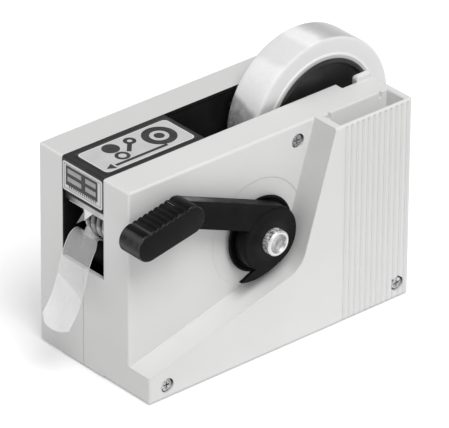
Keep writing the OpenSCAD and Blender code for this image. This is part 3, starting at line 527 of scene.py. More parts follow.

# %% [markdown]
# The lever, its grip and the collar are glass-filled nylon: nearly black and satin, with a fine
# grain. Their edges get a faint painted highlight. The top of the arm is painted paler, as light from
# above makes it, and the nut throws a paler ring of light on its face. The round front end of the grip
# gets a painted grey sheen, and its outer edge a brighter painted highlight in places, which noise
# breaks up so that it isn't one even line. The spool of the roll is the same kind of plastic, without
# painted sheen on its faces.

# %% Black plastics
DEEP_BLACK = grey(0.0042, -0.0002)
EDGE_HIGHLIGHT_TONE = grey(0.42)

# In millimetres: how wide the painted edge highlight is, how soft a face with painted sheen ends, and the
# ring of light
EDGE_HIGHLIGHT_WIDTH = (0.7, 1.3)
SHEEN_FADE = 1.5
NUT_LIGHT = (7.5, 14.0)

# The ways that the faces with painted sheen or painted top light look, and how far back they reach, in
# metres along X
UPWARD = (0, 0, 1)
FORWARD_END = (-0.94, 0, 0.34)
OUTER_TOP = (0, -0.4, 0.9)
EVERYWHERE = 1.0
GRIP_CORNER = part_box("lever_grip")[0]
GRIP_FRONT = GRIP_CORNER.x + 11 * MM


def finish_black(name, base, edge, roughness, specular, edge_highlight, sheen_faces=(), bright_side=None):
    """Black plastic with painted light. Each face entry is a face that gets a painted sheen or painted
    top light: the direction that it looks along, the agreement where it starts and is full, its tone,
    and how far back it reaches. Edges get a painted highlight, brighter near `bright_side`, a place
    along Y."""
    finish = start_finish(name, base, roughness, specular=specular)
    place = place_pattern(finish)
    at = split(finish, place)
    rolled = round_edges(finish, 0.5)
    scuff = add_noise(finish, place, 9, 4.0, 0.65)
    speck = add_noise(finish, place, 0.7, 2.0, 0.6)
    broken = spread(finish, add_noise(finish, place, 1.6, 3.0, 0.7), 0.42, 0.58, 0.15, 1.0)
    patchy = spread(finish, scuff, 0.25, 0.6, 0.55, 1.0)
    if bright_side is not None:
        outermost = spread(finish, at["Y"], *(bright_side + width * MM for width in EDGE_HIGHLIGHT_WIDTH), 1, 0)
        edge = blend_colours(finish, outermost, edge, EDGE_HIGHLIGHT_TONE)
    tone = mottle(finish, scuff, 0.4, 0.7, base, scaled(base, 1.6))
    close_finish(finish, tone, scuff, (roughness + 0.08, roughness - 0.06), speck, 0.025, rolled)
    lay_over(finish, (product(finish, edge_mask(finish, rolled, edge_highlight), broken), edge))
    for direction, least, most, sheen_tone, reach in sheen_faces:
        near = spread(finish, at["X"], reach, reach + SHEEN_FADE * MM, 1, 0)
        lay_over(finish, (product(finish, facing(finish, direction, least, most), patchy, near), grey(sheen_tone)))
    return finish


def light_round_nut(finish):
    """The nut's light on the arm's outer face."""
    near = fade(finish, off_axis(finish, middle("thumb_nut")), *NUT_LIGHT, 1, 0)
    lay_over(finish, (product(finish, near, facing(finish, (0, -1, 0), 0.9, 0.99)), grey(0.022)))


lever_finish = finish_black("satin_black_nylon", DEEP_BLACK, grey(0.02), 0.42, 0.08, 0.6)
# The arm's top gets painted top light, paler where it faces up.
arm_finish = finish_black("top_lit_black_nylon", DEEP_BLACK, grey(0.02), 0.42, 0.08, 0.6, [
    (UPWARD, 0.90, 0.985, 0.34, EVERYWHERE),
])
light_round_nut(arm_finish)
# The grip's front end gets a painted sheen, its rib tops a faint one, and its outer edge a brighter painted
# highlight.
grip_finish = finish_black("sheened_black_nylon", DEEP_BLACK, grey(0.14), 0.40, 0.10, 0.9, [
    (FORWARD_END, 0.72, 0.99, 0.17, GRIP_FRONT),
    (FORWARD_END, 0.8, 0.99, 0.02, EVERYWHERE),
    (OUTER_TOP, 0.8, 1.0, 0.006, EVERYWHERE),
], GRIP_CORNER.y)
hub_finish = finish_black("black_spool_plastic", grey(0.018), grey(0.06), 0.38, 0.35, 0.6)
print("finishes:", lever_finish.name, arm_finish.name, grip_finish.name, hub_finish.name)

# %% [markdown]
# The side plates and the holder of the cutter are sheet steel under black paint, which lies in the
# faint ripples called orange peel. The head cover is charcoal plastic, smoother than the case.

# %% Painted sheet and charcoal cover
def finish_paint():
    finish = start_finish("black_paint", grey(0.008), 0.4, specular=0.25)
    place = place_pattern(finish)
    dust = add_noise(finish, place, 25, 5.0, 0.7)
    feed(finish, "Base Color", mottle(finish, dust, 0.45, 0.75, grey(0.010), grey(0.018)))
    feed(finish, "Roughness", spread(finish, dust, 0.4, 0.7, 0.36, 0.6))
    add_relief(finish, add_noise(finish, place, 1.8, 2.0), 0.03)
    return finish


def finish_cover():
    finish = start_finish("charcoal_plastic", grey(0.036), 0.5, specular=0.25)
    place = place_pattern(finish)
    cloud = add_noise(finish, place, 20, 3.0)
    grain = add_noise(finish, place, 0.5, 2.0)
    rolled = round_edges(finish, 0.5)
    tone = mottle(finish, cloud, 0.35, 0.65, grey(0.030), grey(0.042))
    close_finish(finish, tone, cloud, (0.45, 0.56), grain, 0.015, rolled)
    # Its edges get a painted highlight, a lighter tone along them.
    return lay_over(finish, (edge_mask(finish, rolled, 0.5), grey(0.08)))


paint_finish = finish_paint()
cover_finish = finish_cover()
print("finishes:", paint_finish.name, cover_finish.name)

# %% [markdown]
# Turned steel carries fine rings round its own axis, where the lathe tool passed. The rings are
# waves of the distance from that axis, so each shaft needs its own centre, taken from its box. The
# cutter strip and the base are ground sheet, scratched along their length instead. The nut is turned
# too, with a dished face; its bright rim is a painted highlight, the dark blotches of its dish are
# painted reflections, and the light and dark of its knurl are painted glints.

# %% Steel
# In millimetres: the pitch of the lathe rings, and how far in from its edge the rim of the nut ends
RING_PITCH = 0.35
NUT_RIM = (2.3, 1.7)

# Where the painted shade and painted light of the cutter start and end, in millimetres along the frame's
# axes
SHADED_TOP_HEIGHT = (109.1, 109.8)
TOOTH_HEIGHT = (105.6, 106.4)
SHADED_STRETCH = (6.0, 22.0)
SHADED_END = (17.0, 23.0)


def steel(tone):
    """Bare metal is a grey with a little more blue."""
    return (tone, tone + 0.005, tone + 0.01)


def finish_turned(name, node, colour, roughness):
    """Turned metal with lathe rings round the Y axis through the middle of a node."""
    finish = start_finish(name, colour, roughness, metallic=1.0)
    place = place_pattern(finish, middle(node))
    smear = add_noise(finish, place, 3, 4.0, 0.7)
    lathe = add_rings(finish, place, RING_PITCH)
    tone = mottle(finish, smear, 0.4, 0.65, colour, scaled(colour, 0.72))
    rough = (roughness - 0.06, roughness + 0.12)
    return close_finish(finish, tone, smear, rough, lathe, 0.006, round_edges(finish, 0.25))


def finish_ground(name, colour, roughness, along):
    """Ground sheet with scratches along one axis: noise stretched thin along that axis."""
    finish = start_finish(name, colour, roughness, metallic=1.0)
    stretch = tuple(0.02 if axis == along else 1.0 for axis in "XYZ")
    scratch = add_noise(finish, place_pattern(finish, stretch=stretch), 0.25, 3.0, 0.7)
    stain = add_noise(finish, place_pattern(finish), 12, 4.0)
    tone = mottle(finish, stain, 0.4, 0.7, colour, scaled(colour, 0.75))
    rough = (roughness, roughness + 0.15)
    return close_finish(finish, tone, scratch, rough, scratch, 0.008, round_edges(finish, 0.2))


def finish_nut():
    """Bright nut: a painted highlight on the rim round a dished face with rings and painted dark
    reflections, and a knurl with painted glints of light and dark.
    """
    finish = start_finish("bright_turned_nut", grey(0.7), 0.3, metallic=0.8)
    centre = middle("thumb_nut")
    face = facing(finish, (0, -1, 0), 0.45, 0.75)
    rim = outer_mask(finish, "thumb_nut", NUT_RIM)
    smear = add_noise(finish, place_pattern(finish, centre, (1, 1, 0.6)), 3.6, 4.0, 0.7)
    teeth = add_noise(finish, place_pattern(finish, stretch=(1, 0.35, 1)), 0.9, 3.0, 0.7)
    lathe = add_rings(finish, place_pattern(finish, centre), RING_PITCH)
    dish = mottle(finish, smear, 0.40, 0.62, grey(0.66), grey(0.32))
    knurl = mottle(finish, teeth, 0.42, 0.58, grey(0.10), grey(0.86))
    tone = blend_colours(finish, face, knurl, blend_colours(finish, rim, dish, grey(0.84)))
    feed(finish, "Metallic", spread(finish, face, 0, 1, 0.15, 0.8))
    return close_finish(finish, tone, smear, (0.42, 0.58), lathe, 0.012, round_edges(finish, 0.4))


def finish_cutter():
    """Ground strip with painted shade where the cover shades it, and painted light and shade on its tooth's
    two folds, which catch the light unequally.
    """
    finish = finish_ground("ground_cutter_steel", grey(0.50, -0.005), 0.3, "Y")
    at = split(finish, place_pattern(finish))
    return lay_over(
        finish,
        (fade(finish, at["Y"], *SHADED_STRETCH, 0, 0.75), grey(0.16)),
        (fade(finish, at["Y"], *SHADED_END, 0, 0.9), grey(0.04)),
        (fade(finish, at["Z"], *TOOTH_HEIGHT, 1, 0), grey(0.68)),
        (facing(finish, (0, -1, 0), 0.1, 0.3), grey(0.22)),
        (fade(finish, at["Z"], *SHADED_TOP_HEIGHT), grey(0.02)),
    )


nut_finish = finish_nut()
cutter_finish = finish_cutter()
sheet_finish = finish_ground("ground_sheet_steel", steel(0.56), 0.4, "X")
turned_on = {
    "lever_shaft": ("lever_shaft", "lever_washer", "sector_gear"),
    "drive_shaft": ("drive_shaft", "one_way_clutch"),
    "ring_axle": ("ring_axle",),
    "guide_axle": ("guide_axle",),
    "roll_axle": ("roll_axle",),
    "idler_stud": ("idler_stud",),
}
steel_finishes = {
    node: finish_turned("turned_steel_" + axis, axis, steel(0.66), 0.3)
    for axis, group in turned_on.items() for node in group
}
print("steel finishes:", len(steel_finishes) + 3)

# %% [markdown]
# Screws, rods and the spring are zinc plated: paler and softer than bare steel, with cloudy spots.
# Small parts like these share one finish, because a lathe ring would be lost on them. The heads of
# the shell screws are the same plate, a little stained, with rims that lie in the recess's dark.

# %% Zinc plate
# How far from a screw's axis the rim of its head starts to darken and is dark, in millimetres
HEAD_RIM = (3.5, 3.9)


def finish_zinc(name):
    finish = start_finish(name, steel(0.58), 0.38, metallic=1.0)
    spot = add_noise(finish, place_pattern(finish), 1.6, 4.0, 0.65)
    tone = mottle(finish, spot, 0.38, 0.66, steel(0.66), steel(0.40))
    return close_finish(finish, tone, spot, (0.3, 0.5), spot, 0.02, round_edges(finish, 0.2))


def finish_screw_heads():
    finish = finish_zinc("recessed_zinc_heads")
    stain = add_noise(finish, place_pattern(finish), 1.3, 3.0, 0.6)
    rim = fade(finish, screw_distance(finish), *HEAD_RIM, 0, 0.9)
    return lay_over(finish, (spread(finish, stain, 0.48, 0.64, 0, 0.7), grey(0.14)), (rim, grey(0.03)))


zinc_finish = finish_zinc("zinc_plate")
head_finish = finish_screw_heads()
print("finishes:", zinc_finish.name, head_finish.name)

# %% [markdown]
# The rollers: a turned aluminium core, a ground rubber sleeve with its fine lengthwise lay, white
# silicone bands that the adhesive doesn't stick to, and white acetal for the gears and the guide.
# Each band gets a white painted highlight on its crest, and its upper part lies in the painted shade of the
# cutter.

# %% Rollers and gears
GRAINS_IN_LUMP = 12

# The heights between which the shade on the bands sets in, in millimetres
BAND_SHADE = (95.0, 96.5)


def finish_soft(name, base, other, roughness, specular, lump, relief):
    """Rubber or plastic with soft lumps of tone, finer grain and no edge wear; sizes in millimetres."""
    finish = start_finish(name, base, roughness, specular=specular)
    place = place_pattern(finish)
    cloud = add_noise(finish, place, lump, 4.0, 0.6)
    grain = add_noise(finish, place, lump / GRAINS_IN_LUMP, 2.0)
    tone = mottle(finish, cloud, 0.35, 0.65, base, other)
    rough = (roughness - 0.06, roughness + 0.08)
    return close_finish(finish, tone, cloud, rough, grain, relief, round_edges(finish, 0.25))


def finish_bands():
    finish = finish_soft("white_silicone", grey(0.56), grey(0.48), 0.2, 0.8, 5, 0.01)
    far_side, near_side = facing(finish, (0, 1, 0), -0.15, 0.05), facing(finish, (0, -1, 0), -0.55, -0.4)
    shaded = fade(finish, split(finish, place_pattern(finish))["Z"], *BAND_SHADE, 0, 0.8)
    # Painted highlight along each crest, painted shade on the upper part.
    return lay_over(finish, (product(finish, far_side, near_side), grey(1.0)), (shaded, grey(0.14)))


band_finish = finish_bands()
sleeve_finish = finish_soft("ground_black_rubber", grey(0.006), grey(0.010), 0.72, 0.15, 4, 0.05)
mat_finish = finish_soft("matt_rubber_mat", grey(0.030), grey(0.042), 0.85, 0.3, 9, 0.08)
acetal_finish = finish_soft("white_acetal", (0.78, 0.775, 0.75), (0.73, 0.725, 0.70), 0.36, 0.45, 11, 0.01)
bronze_finish = finish_soft("sintered_bronze", (0.16, 0.13, 0.10), (0.11, 0.09, 0.07), 0.45, 0.5, 1.2, 0.02)
feed(bronze_finish, "Metallic", 1.0)
drive_core_finish = finish_turned("turned_aluminium_drive", "drive_core", grey(0.70), 0.34)
ring_core_finish = finish_turned("turned_aluminium_ring", "ring_roller", grey(0.16), 0.4)
print("roller finishes:", band_finish.name, sleeve_finish.name, drive_core_finish.name)

# %% [markdown]
# The card tube of the roll is wound from white paper, which shows fibres and, on its cut end, the
# turns of the winding. Its outermost turns get a painted highlight, a bright ring along the rim.

# %% Card tube
# Where the painted highlight starts, in millimetres below the outside of the tube
CARD_RIM_HIGHLIGHT = (1.5, 1.1)


def finish_card():
    finish = start_finish("white_card", (0.80, 0.79, 0.765), 0.85, specular=0.2)
    place = place_pattern(finish, middle("roll_core"))
    turns = spread(finish, add_rings(finish, place, 0.5, 2.0, 3.0, 1.0), 0.2, 0.8, 0, 0.4)
    fibre = add_noise(finish, place, 0.9, 4.0, 0.7)
    tone = blend_colours(finish, turns, grey(0.62, 0.01), grey(0.50, 0.01))
    close_finish(finish, tone, fibre, (0.8, 0.95), fibre, 0.03)
    # The outermost ring is a painted highlight.
    return lay_over(
        finish,
        (outer_mask(finish, "roll_core", CARD_RIM_HIGHLIGHT), grey(0.95, 0.005)),
        (spread(finish, fibre, 0.5, 0.8, 0, 0.3), (0.70, 0.695, 0.68)),
    )


card_finish = finish_card()
print("finish:", card_finish.name)

# %% [markdown]
# Packing tape is clear polypropylene film. One layer lets most light through and glosses over; wound
# up, hundreds of layers turn milky white. Round the roll, painted reflections make lighter and darker
# stretches and greyer patches. The free film is a shader that is part transparent, the roll an opaque
# one. Below a slanting line the free film is milkier, painted light where it curves out, and its two
# long edges get painted highlights, fine light lines.

# %% Tape film
# The slanting line below which the free film is painted lighter, half the width of the tape, and the painted
# highlight along its edges
LIT_LINE_POINT = Vector((-102.0, -4.2, 55.0)) * MM
LIT_LINE_ACROSS = (0, -0.33, 1)
LIT_LINE_WIDTH = (-0.6, 0.6)
HALF_TAPE = 12.5
RIM_HIGHLIGHT = (11.9, 12.2)

# Painted reflections round the roll: how many degrees above the rear, and the tone there
ROLL_REFLECTION_TONES = (
    (0, 0.70), (55, 0.74), (66, 0.56), (80, 0.52), (85, 0.62), (91, 0.93), (99, 0.94), (103, 0.80),
    (122, 0.80), (127, 0.95), (155, 0.95), (159, 0.44), (176, 0.24), (200, 0.4), (300, 0.6), (360, 0.70),
)

# Between which angles the tones start to run askew, how many radians askew they run in a metre across
# the roll, and how many radians they stray
SKEWED_ANGLES = (2.2, 2.7)
SKEW = 7
WANDER = 0.06

# Where the outer face of the roll starts, in millimetres below its rim
OUTER_TURNS = (0.5, 0.1)


def finish_film():
    finish = start_finish("clear_film", grey(0.95), 0.22, specular=0.5)
    place = place_pattern(finish, LIT_LINE_POINT)
    haze = add_noise(finish, place, 14, 4.0, 0.6)
    streak = add_noise(finish, place_pattern(finish, stretch=(1, 14, 1)), 9, 2.0)
    clear = spread(finish, haze, 0.3, 0.7, 0.23, 0.27)
    milky = spread(finish, haze, 0.3, 0.7, 0.64, 0.74)
    # Below the slanting line the film is more opaque and whiter: painted light.
    alpha = fade(finish, dot(finish, place, LIT_LINE_ACROSS), *LIT_LINE_WIDTH, milky, clear)
    off = combine(finish, "SUBTRACT", split(finish, place)["Y"], HALF_TAPE * MM)
    # A painted highlight along both long edges.
    rims = fade(finish, combine(finish, "ABSOLUTE", off), *RIM_HIGHLIGHT, 0, 0.25)
    feed(finish, "Alpha", combine(finish, "ADD", alpha, rims))
    feed(finish, "Roughness", spread(finish, streak, 0.3, 0.7, 0.16, 0.34))
    add_relief(finish, streak, 0.01)
    return finish


def reflections_round_roll(finish, place, wander):
    """The tone of the painted reflections at each angle round the axis."""
    at = split(finish, place)
    angle = combine(finish, "ARCTAN2", at["Z"], at["X"])
    skew = combine(finish, "MULTIPLY", at["Y"], spread(finish, angle, *SKEWED_ANGLES, 0, SKEW))
    skewed = combine(finish, "ADD", angle, skew)
    shaken = combine(finish, "ADD", skewed, spread(finish, wander, 0.2, 0.8, -WANDER, WANDER))
    ramp = add_node(finish, "ValToRGB", {"Fac": spread(finish, shaken, 0, 2 * math.pi)})
    elements = ramp.color_ramp.elements
    for degrees, tone in ROLL_REFLECTION_TONES[1:-1]:
        elements.new(degrees / 360)
    for element, (degrees, tone) in zip(elements, ROLL_REFLECTION_TONES):
        element.position = degrees / 360
        element.color = (*grey(tone), 1)
    return ramp.outputs["Color"]


def finish_wound():
    finish = start_finish("wound_film", grey(0.78), 0.26, specular=0.4)
    place = place_pattern(finish, middle("tape_roll"))
    turns = add_rings(finish, place, 0.9, 0.8, 2.0, 2.0)
    wander = add_noise(finish, place, 20, 3.0)
    spots = add_noise(finish, place, 4, 5.0, 0.7)
    # Painted reflections round the roll, with greyer painted patches where they are darkest.
    band = reflections_round_roll(finish, place, wander)
    dark_reflection = product(finish, spread(finish, spots, 0.42, 0.62), spread(finish, band, 0.6, 0.4, 0.10, 0.8))
    wound = blend_colours(finish, dark_reflection, band, grey(0.62))
    side = blend_colours(finish, spread(finish, turns, 0.2, 0.8, 0, 0.3), grey(0.80), grey(0.74))
    tone = blend_colours(finish, outer_mask(finish, "tape_roll", OUTER_TURNS), side, wound)
    return close_finish(finish, tone, wander, (0.42, 0.3), turns, 0.01)


film_finish = finish_film()
wound_finish = finish_wound()
print("finishes:", film_finish.name, wound_finish.name)

# %% [markdown]
# Labels are pale printed film with a satin coat; the ink on them is a thin charcoal layer of its own.
# All four are the soft finish of the rollers, in other tones.

# %% Labels and ink
label_finish = finish_soft("pale_label_film", grey(0.78), grey(0.74), 0.42, 0.45, 15, 0.01)
field_finish = finish_soft("grey_label_ink", grey(0.62), grey(0.56), 0.45, 0.4, 12, 0.01)
grey_finish = finish_soft("mid_grey_label_ink", grey(0.36), grey(0.44), 0.45, 0.4, 2, 0.01)
ink_finish = finish_soft("charcoal_ink", grey(0.036), grey(0.060), 0.5, 0.35, 6, 0.01)
print("label finishes:", label_finish.name, field_finish.name, grey_finish.name, ink_finish.name)

# %% [markdown]
# Now every part of the frame gets its finish. One table says which, and the print shows at once if a
# part was forgotten.

# %% Give each part its finish
finish_of = dict(steel_finishes)
finish_of.update({
    "lever_side_shell": case_finish, "far_side_shell": case_finish,
    "near_side_plate": paint_finish, "far_side_plate": paint_finish,
    "blade_holder": paint_finish, "axle_clips": paint_finish, "sector_key": paint_finish,
    "tie_rods": zinc_finish, "shell_screws": head_finish, "plate_screws": zinc_finish,
    "return_spring": zinc_finish, "spring_stud": zinc_finish,
    "base_plate": sheet_finish, "base_mat": mat_finish, "cutter_blade": cutter_finish,
    "head_cover": cover_finish, "top_label": ink_finish, "front_label": label_finish,
    "lever_collar": lever_finish, "lever_arm": lever_finish, "lever_grip": lever_finish,
    "thumb_nut": nut_finish, "plate_bushes": bronze_finish,
    "idler_gear": acetal_finish, "pinion_gear": acetal_finish, "guide_roller": acetal_finish,
    "drive_core": drive_core_finish, "drive_sleeve": sleeve_finish,
    "ring_roller": ring_core_finish, "ring_bands": band_finish,
    "tape_run": film_finish, "tape_strip": film_finish,
    "tape_roll": wound_finish, "roll_core": card_finish, "roll_hub": hub_finish,
})

for name, node in nodes.items():
    give_finish(node, finish_of[name])
print("parts without a finish:", sorted(set(nodes) - set(finish_of)))

# %% [markdown]
# The lever is moulded, so its edges are rounded by the tool: about a millimetre on the grip, where
# the thumb rests, and less on the arm. A bevel in the shader would only shade them, and on a black
# part it is the outline and the thin bright line along an edge that show, so here the mesh itself is
# bevelled. The copies stand for the plain parts.

# %% Lever with soft edges
SOFT_LEVER = {"lever_arm": (0.7 * MM, 40), "lever_grip": (0.6 * MM, 50), "lever_collar": (0.3 * MM, 30)}


def make_soft_copy(node, width, least_angle):
    piece = copy_part(node, node + "_soft")
    soften(piece, width, least_angle)
    give_finish(piece, {"lever_arm": arm_finish, "lever_grip": grip_finish}.get(node, lever_finish))
    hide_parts(node)
    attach(piece, "case" if node == "lever_collar" else "lever")
    return piece


for node, (width, least_angle) in SOFT_LEVER.items():
    made = make_soft_copy(node, width, least_angle)
    print(made.name, len(made.data.polygons), "faces")

# %% [markdown]
# The roll and its spool are round, so both are drawn as a lathe would turn them: a ring of edges is
# extruded from point to point of a profile, and each time resized about the axis. A last bridge
# closes the ring.
#
# The roll is film wound under tension. Its sides aren't quite flat, because the turns slip past each
# other by a tenth of a millimetre, and its rims are soft.

# %% Turned shapes and the wound roll
def turn_profile(name, centre, profile, around=192):
    """Turns a closed profile of (radius, place along the axis) about the Y axis through a centre."""
    bpy.ops.object.select_all(action="DESELECT")
    radius, place = profile[0]
    bpy.ops.mesh.primitive_circle_add(
        vertices=around, radius=radius, fill_type="NOTHING",
        location=centre + Vector((0, place, 0)), rotation=(math.pi / 2, 0, 0),
    )
    piece = bpy.context.object
    piece.name = name
    bpy.ops.object.transform_apply(location=True, rotation=True, scale=True)
    bpy.ops.object.mode_set(mode="EDIT")
    bpy.ops.mesh.select_all(action="SELECT")
    for next_radius, next_place in profile[1:]:
        bpy.ops.mesh.extrude_edges_move(TRANSFORM_OT_translate={"value": (0, next_place - place, 0)})
        k = next_radius / radius
        bpy.ops.transform.resize(value=(k, 1, k), center_override=centre)
        radius, place = next_radius, next_place
    select_edges(piece, lambda edge: edge.is_boundary)
    bpy.ops.mesh.bridge_edge_loops()
    bpy.ops.mesh.select_all(action="SELECT")
    bpy.ops.mesh.normals_make_consistent(inside=False)
    bpy.ops.object.mode_set(mode="OBJECT")
    bpy.ops.object.shade_smooth_by_angle(angle=math.radians(25))
    return piece


def mirrored(half):
    """The front half of a profile, followed by its mirror image at the rear."""
    return [(r * MM, y * MM) for r, y in half] + [(r * MM, -y * MM) for r, y in reversed(half)]


ROLL_HALF = (
    (43.0, -12.40), (44.6, -12.45), (46.2, -12.38), (47.8, -12.5), (49.3, -12.40), (50.6, -12.48),
    (51.6, -12.42), (52.3, -12.36), (52.85, -12.05), (53.18, -11.5), (53.3, -10.7), (53.3, -4.0),
)
roll = turn_profile("wound_roll", middle("tape_roll"), mirrored(ROLL_HALF))
give_finish(roll, wound_finish)
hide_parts("tape_roll")
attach(roll, "roll")
print(roll.name, len(roll.data.polygons), "faces")

# %% [markdown]
# The spool fills the card tube. It is moulded black plastic with a thin raised lip, and a shallow
# dished face inside that lip.

# %% Spool
SPOOL_HALF = (
    (6.2, -12.0), (6.8, -12.9), (11.0, -13.0), (11.6, -12.4), (12.4, -11.4), (16.0, -11.2),
    (28.0, -12.0), (35.6, -12.45), (36.3, -12.6), (36.7, -13.5), (37.3, -13.95), (39.2, -14.0),
    (39.7, -13.75), (39.8, -13.3), (39.3, -12.9), (37.9, -12.9),
)
spool = turn_profile("roll_spool", middle("roll_hub"), mirrored(SPOOL_HALF))
give_finish(spool, hub_finish)
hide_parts("roll_hub")
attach(spool, "roll")
print(spool.name, len(spool.data.polygons), "faces")

# %% [markdown]
# The free end of the tape is one sheet of film. It comes off the rollers, humps over, and hangs down
# the front, where it curls a little across its width. Its end was torn on the cutter, so it isn't
# straight. The sheet is a grid whose points are set by a curve along the tape and a few soft terms
# across it, because a sheet is easier to describe by its path than to push into shape. A Solidify
# modifier gives it the thickness of film.

# %% Free end of the tape
TAPE_PATH = (
    (18.0, 82.0), (12.5, 82.7), (9.2, 84.4), (6.4, 86.6), (3.0, 87.6), (-0.9, 85.8), (-4.0, 81.6),
    (-6.8, 75.4), (-9.0, 68.0), (-11.0, 60.5), (-13.4, 54.0), (-16.2, 48.0), (-19.4, 42.8),
    (-22.6, 38.4), (-25.6, 34.4),
)
TAPE_ORIGIN = Vector((-102.0, -50.2, 1.0))
TAPE_NEAR, TAPE_FAR = 46.0, 71.0
TORN_END = (0.15, 0.45, 0.7, 0.85, 0.9, 0.8, 0.5, -0.1)
FILM_THICKNESS = 0.06 * MM

# Soft terms of the sheet's shape: where along the path, how wide there, and how much in millimetres
NARROWING = (4.0, 0.8, 4.0)
CREST = (4.1, 0.7, 6.3)
FAR_DIP = (1.8, 0.9, 4.0)
RIPPLE = (5.5, 2.0, 0.25)

# How far across the sheet they reach, and where along the path it starts to curl
CREST_RISE = 0.42
CREST_END, CREST_FALL = 0.62, 0.16
DIP_START, DIP_FALL = 0.5, 0.2
HANG_START, HANG_LENGTH = 6, 4
CURL, CURL_WAVE = 0.9, 0.12


def hill(place, term):
    """A soft bump along the path."""
    centre, width, height = term
    return height * math.exp(-((place - centre) / width) ** 2)


def clamp(value):
    return min(max(value, 0.0), 1.0)


def along(values, place):
    """Reads a smooth value from a list of numbers at a place between 0 and the last index."""
    last = len(values) - 1
    i = min(int(place), last - 1)
    t = place - i
    p, q, r, s = (values[min(max(j, 0), last)] for j in (i - 1, i, i + 1, i + 2))
    return 0.5 * (2 * q + (r - p) * t + (2 * p - 5 * q + 4 * r - s) * t**2 + (3 * q - p - 3 * r + s) * t**3)


def film_point(u, v):
    """A point of the sheet: u runs from the rollers to the torn end, v from the near edge to the far."""
    end = len(TAPE_PATH) - 2 + along(TORN_END, v * (len(TORN_END) - 1))
    place = u * end
    xs, zs = zip(*TAPE_PATH)
    x, z = along(xs, place), along(zs, place)
    ahead, behind = min(place + 0.2, len(TAPE_PATH) - 1), max(place - 0.2, 0)
    run, rise = along(xs, ahead) - along(xs, behind), along(zs, ahead) - along(zs, behind)
    outward = Vector((rise, 0, -run)).normalized()
    near = TAPE_NEAR + hill(place, NARROWING)
    y = near + (TAPE_FAR - near) * v
    raised = clamp(min(v / CREST_RISE, (CREST_END - v) / CREST_FALL))
    lift = hill(place, CREST) * raised - hill(place, FAR_DIP) * clamp((v - DIP_START) / DIP_FALL)
    hang = clamp((place - HANG_START) / HANG_LENGTH)
    curl = hang * (CURL * math.sin(math.pi * v) + CURL_WAVE * math.sin(7 * v + 1.3 * place))
    wave = hill(place, RIPPLE) * math.sin(9 * v)
    return TAPE_ORIGIN + Vector((x, y, z + lift)) - outward * (curl + wave)


def make_film():
    bpy.ops.object.select_all(action="DESELECT")
    bpy.ops.mesh.primitive_grid_add(x_subdivisions=112, y_subdivisions=50, size=1)
    piece = bpy.context.object
    piece.name = "free_film"
    for vertex in piece.data.vertices:
        vertex.co = film_point(vertex.co.x + 0.5, vertex.co.y + 0.5) * MM
    apply_modifier(piece, "SOLIDIFY", thickness=FILM_THICKNESS, offset=0.0)
    bpy.ops.object.shade_smooth_by_angle(angle=math.radians(60))
    give_finish(piece, film_finish)
    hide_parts("tape_strip")
    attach(piece, "case")
    return piece


film = make_film()
print(film.name, len(film.data.polygons), "faces")

# %% [markdown]
# The labels are printed. The top one gets a thin outline and a diagram that is ours: a roll, the path
# of the tape past two rollers, and an arrow the way it comes out. The front one gets a thin frame and
# a dark block with four blank fields. Each mark is a flat shape a few hundredths of a millimetre
# thick, which is enough to lie on top of the label and cast no shadow.

# %% Label prints
INK_THICKNESS = 0.04 * MM
UP = (0.0, 0.0, 0.0)
FORWARD = (0.0, -math.pi / 2, 0.0)


def add_mark(place, size, turned, corners=0, twist=0.0, rim=0.0, rounding=0.0):
    """A flat mark: a rectangle, or a circle if it has corners; with a rim, only its frame."""
    bpy.ops.object.select_all(action="DESELECT")
    spot = TAPE_ORIGIN * MM + Vector(place) * MM
    if corners:
        bpy.ops.mesh.primitive_circle_add(
            vertices=corners, radius=0.5, fill_type="NGON", location=spot, rotation=turned,
        )
    else:
        bpy.ops.mesh.primitive_plane_add(size=1, location=spot, rotation=turned)
    mark = bpy.context.object
    mark.scale = (size[0] * MM, size[1] * MM, 1)
    mark.rotation_euler.rotate_axis("Z", twist)
    bpy.ops.object.transform_apply(location=True, rotation=True, scale=True)
    bpy.ops.object.mode_set(mode="EDIT")
    bpy.ops.mesh.select_all(action="SELECT")
    if rounding:
        bpy.ops.mesh.bevel(offset=rounding * MM, segments=6, affect="VERTICES")
    if rim:
        bpy.ops.mesh.select_mode(type="FACE")
        bpy.ops.mesh.select_all(action="SELECT")
        bpy.ops.mesh.inset(thickness=rim * MM)
        bpy.ops.mesh.delete(type="FACE")
    bpy.ops.object.mode_set(mode="OBJECT")
    return mark


def finish_print(name, marks, finish, thickness=INK_THICKNESS):
    """Joins marks into one piece, gives it its thickness and lays it on its label."""
    pick(*marks)
    bpy.ops.object.join()
    piece = bpy.context.object
    piece.name = name
    apply_modifier(piece, "SOLIDIFY", thickness=thickness, offset=1.0)
    give_finish(piece, finish)
    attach(piece, "case")
    return piece


# The levels that the layers lie on, in millimetres above the foot of the case and from its front
COVER_Z = 133.22
TOP_Z = 133.52
FRONT_X = -0.32
LAYER = 0.05
DIAGRAM_Z = TOP_Z + 2 * LAYER
CELL_X = FRONT_X - 2 * LAYER
BLOCK_X = FRONT_X - LAYER

# Places on the labels, in millimetres from the front and from the side of the lever
FIELD = (39.7, 59.2)
LINE_Y = 49.0
ROLL_X, ROLL_Y = 58.0, 60.2
ROLLER_X = 26.0
LEVER_X, LEVER_Y = 35.2, 60.2
TICKS = 15
TICK_Y, TICK_STEP = 48.2, 1.7

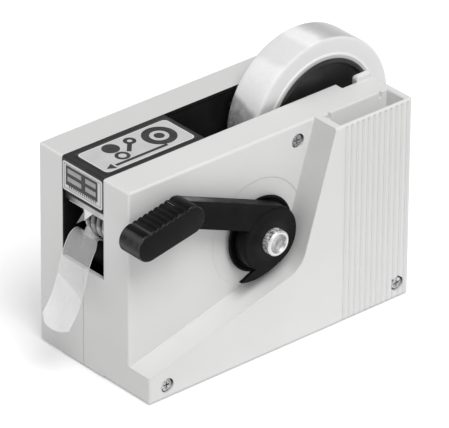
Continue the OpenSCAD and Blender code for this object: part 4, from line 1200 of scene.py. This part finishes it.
sheet = finish_print("top_label_sheet", [
    add_mark((39.9, 59.4, COVER_Z), (70.6, 31.0), UP, rounding=2.0),
], ink_finish, (TOP_Z - COVER_Z) * MM)
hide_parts("top_label")
border = finish_print("top_label_border", [
    add_mark((*FIELD, TOP_Z), (67.8, 28.4), UP, rounding=3.2),
], label_finish)
field = finish_print("top_label_field", [
    add_mark((*FIELD, TOP_Z + LAYER), (66.0, 26.6), UP, rounding=2.6),
], field_finish)
diagram = finish_print("top_label_diagram", [
    add_mark((ROLL_X, ROLL_Y, DIAGRAM_Z), (21.5, 21.5), UP, corners=64, rim=4.8),
    add_mark((ROLL_X, ROLL_Y, DIAGRAM_Z), (6.5, 6.5), UP, corners=40),
    add_mark((LEVER_X, LINE_Y, DIAGRAM_Z), (39, 2.2), UP),
    add_mark((ROLLER_X, LINE_Y + 6.4, DIAGRAM_Z), (9.4, 9.4), UP, corners=40, rim=2.2),
    add_mark((ROLLER_X, LINE_Y + 17.2, DIAGRAM_Z), (11, 11), UP, corners=40),
    add_mark((12.4, LINE_Y, DIAGRAM_Z), (7.4, 7.4), UP, corners=3, twist=math.pi / 2),
    add_mark((40.6, 66.4, DIAGRAM_Z), (8, 8), UP, corners=40, rim=2.4),
    add_mark((LEVER_X, LEVER_Y, DIAGRAM_Z), (9, 2.8), UP, twist=math.radians(48)),
], ink_finish)
frame_line = finish_print("front_label_frame", [
    add_mark((FRONT_X, 60.4, 121.3), (16.6, 33.4), FORWARD, rim=0.5),
], grey_finish)
block = finish_print("front_label_block", [
    add_mark((BLOCK_X, 60.9, 122.2), (12.8, 28.6), FORWARD),
] + [
    add_mark((BLOCK_X, TICK_Y + TICK_STEP * i, 115.0), (1.3, 0.7), FORWARD) for i in range(TICKS)
], ink_finish)
cells = finish_print("front_label_fields", [
    add_mark((CELL_X, y, z), (3.1, w), FORWARD)
    for z in (125.4, 120.0) for y, w in ((67.4, 12.6), (52.8, 9.4))
], grey_finish)
print("label prints:", [p.name for p in (sheet, border, field, diagram, frame_line, block, cells)])
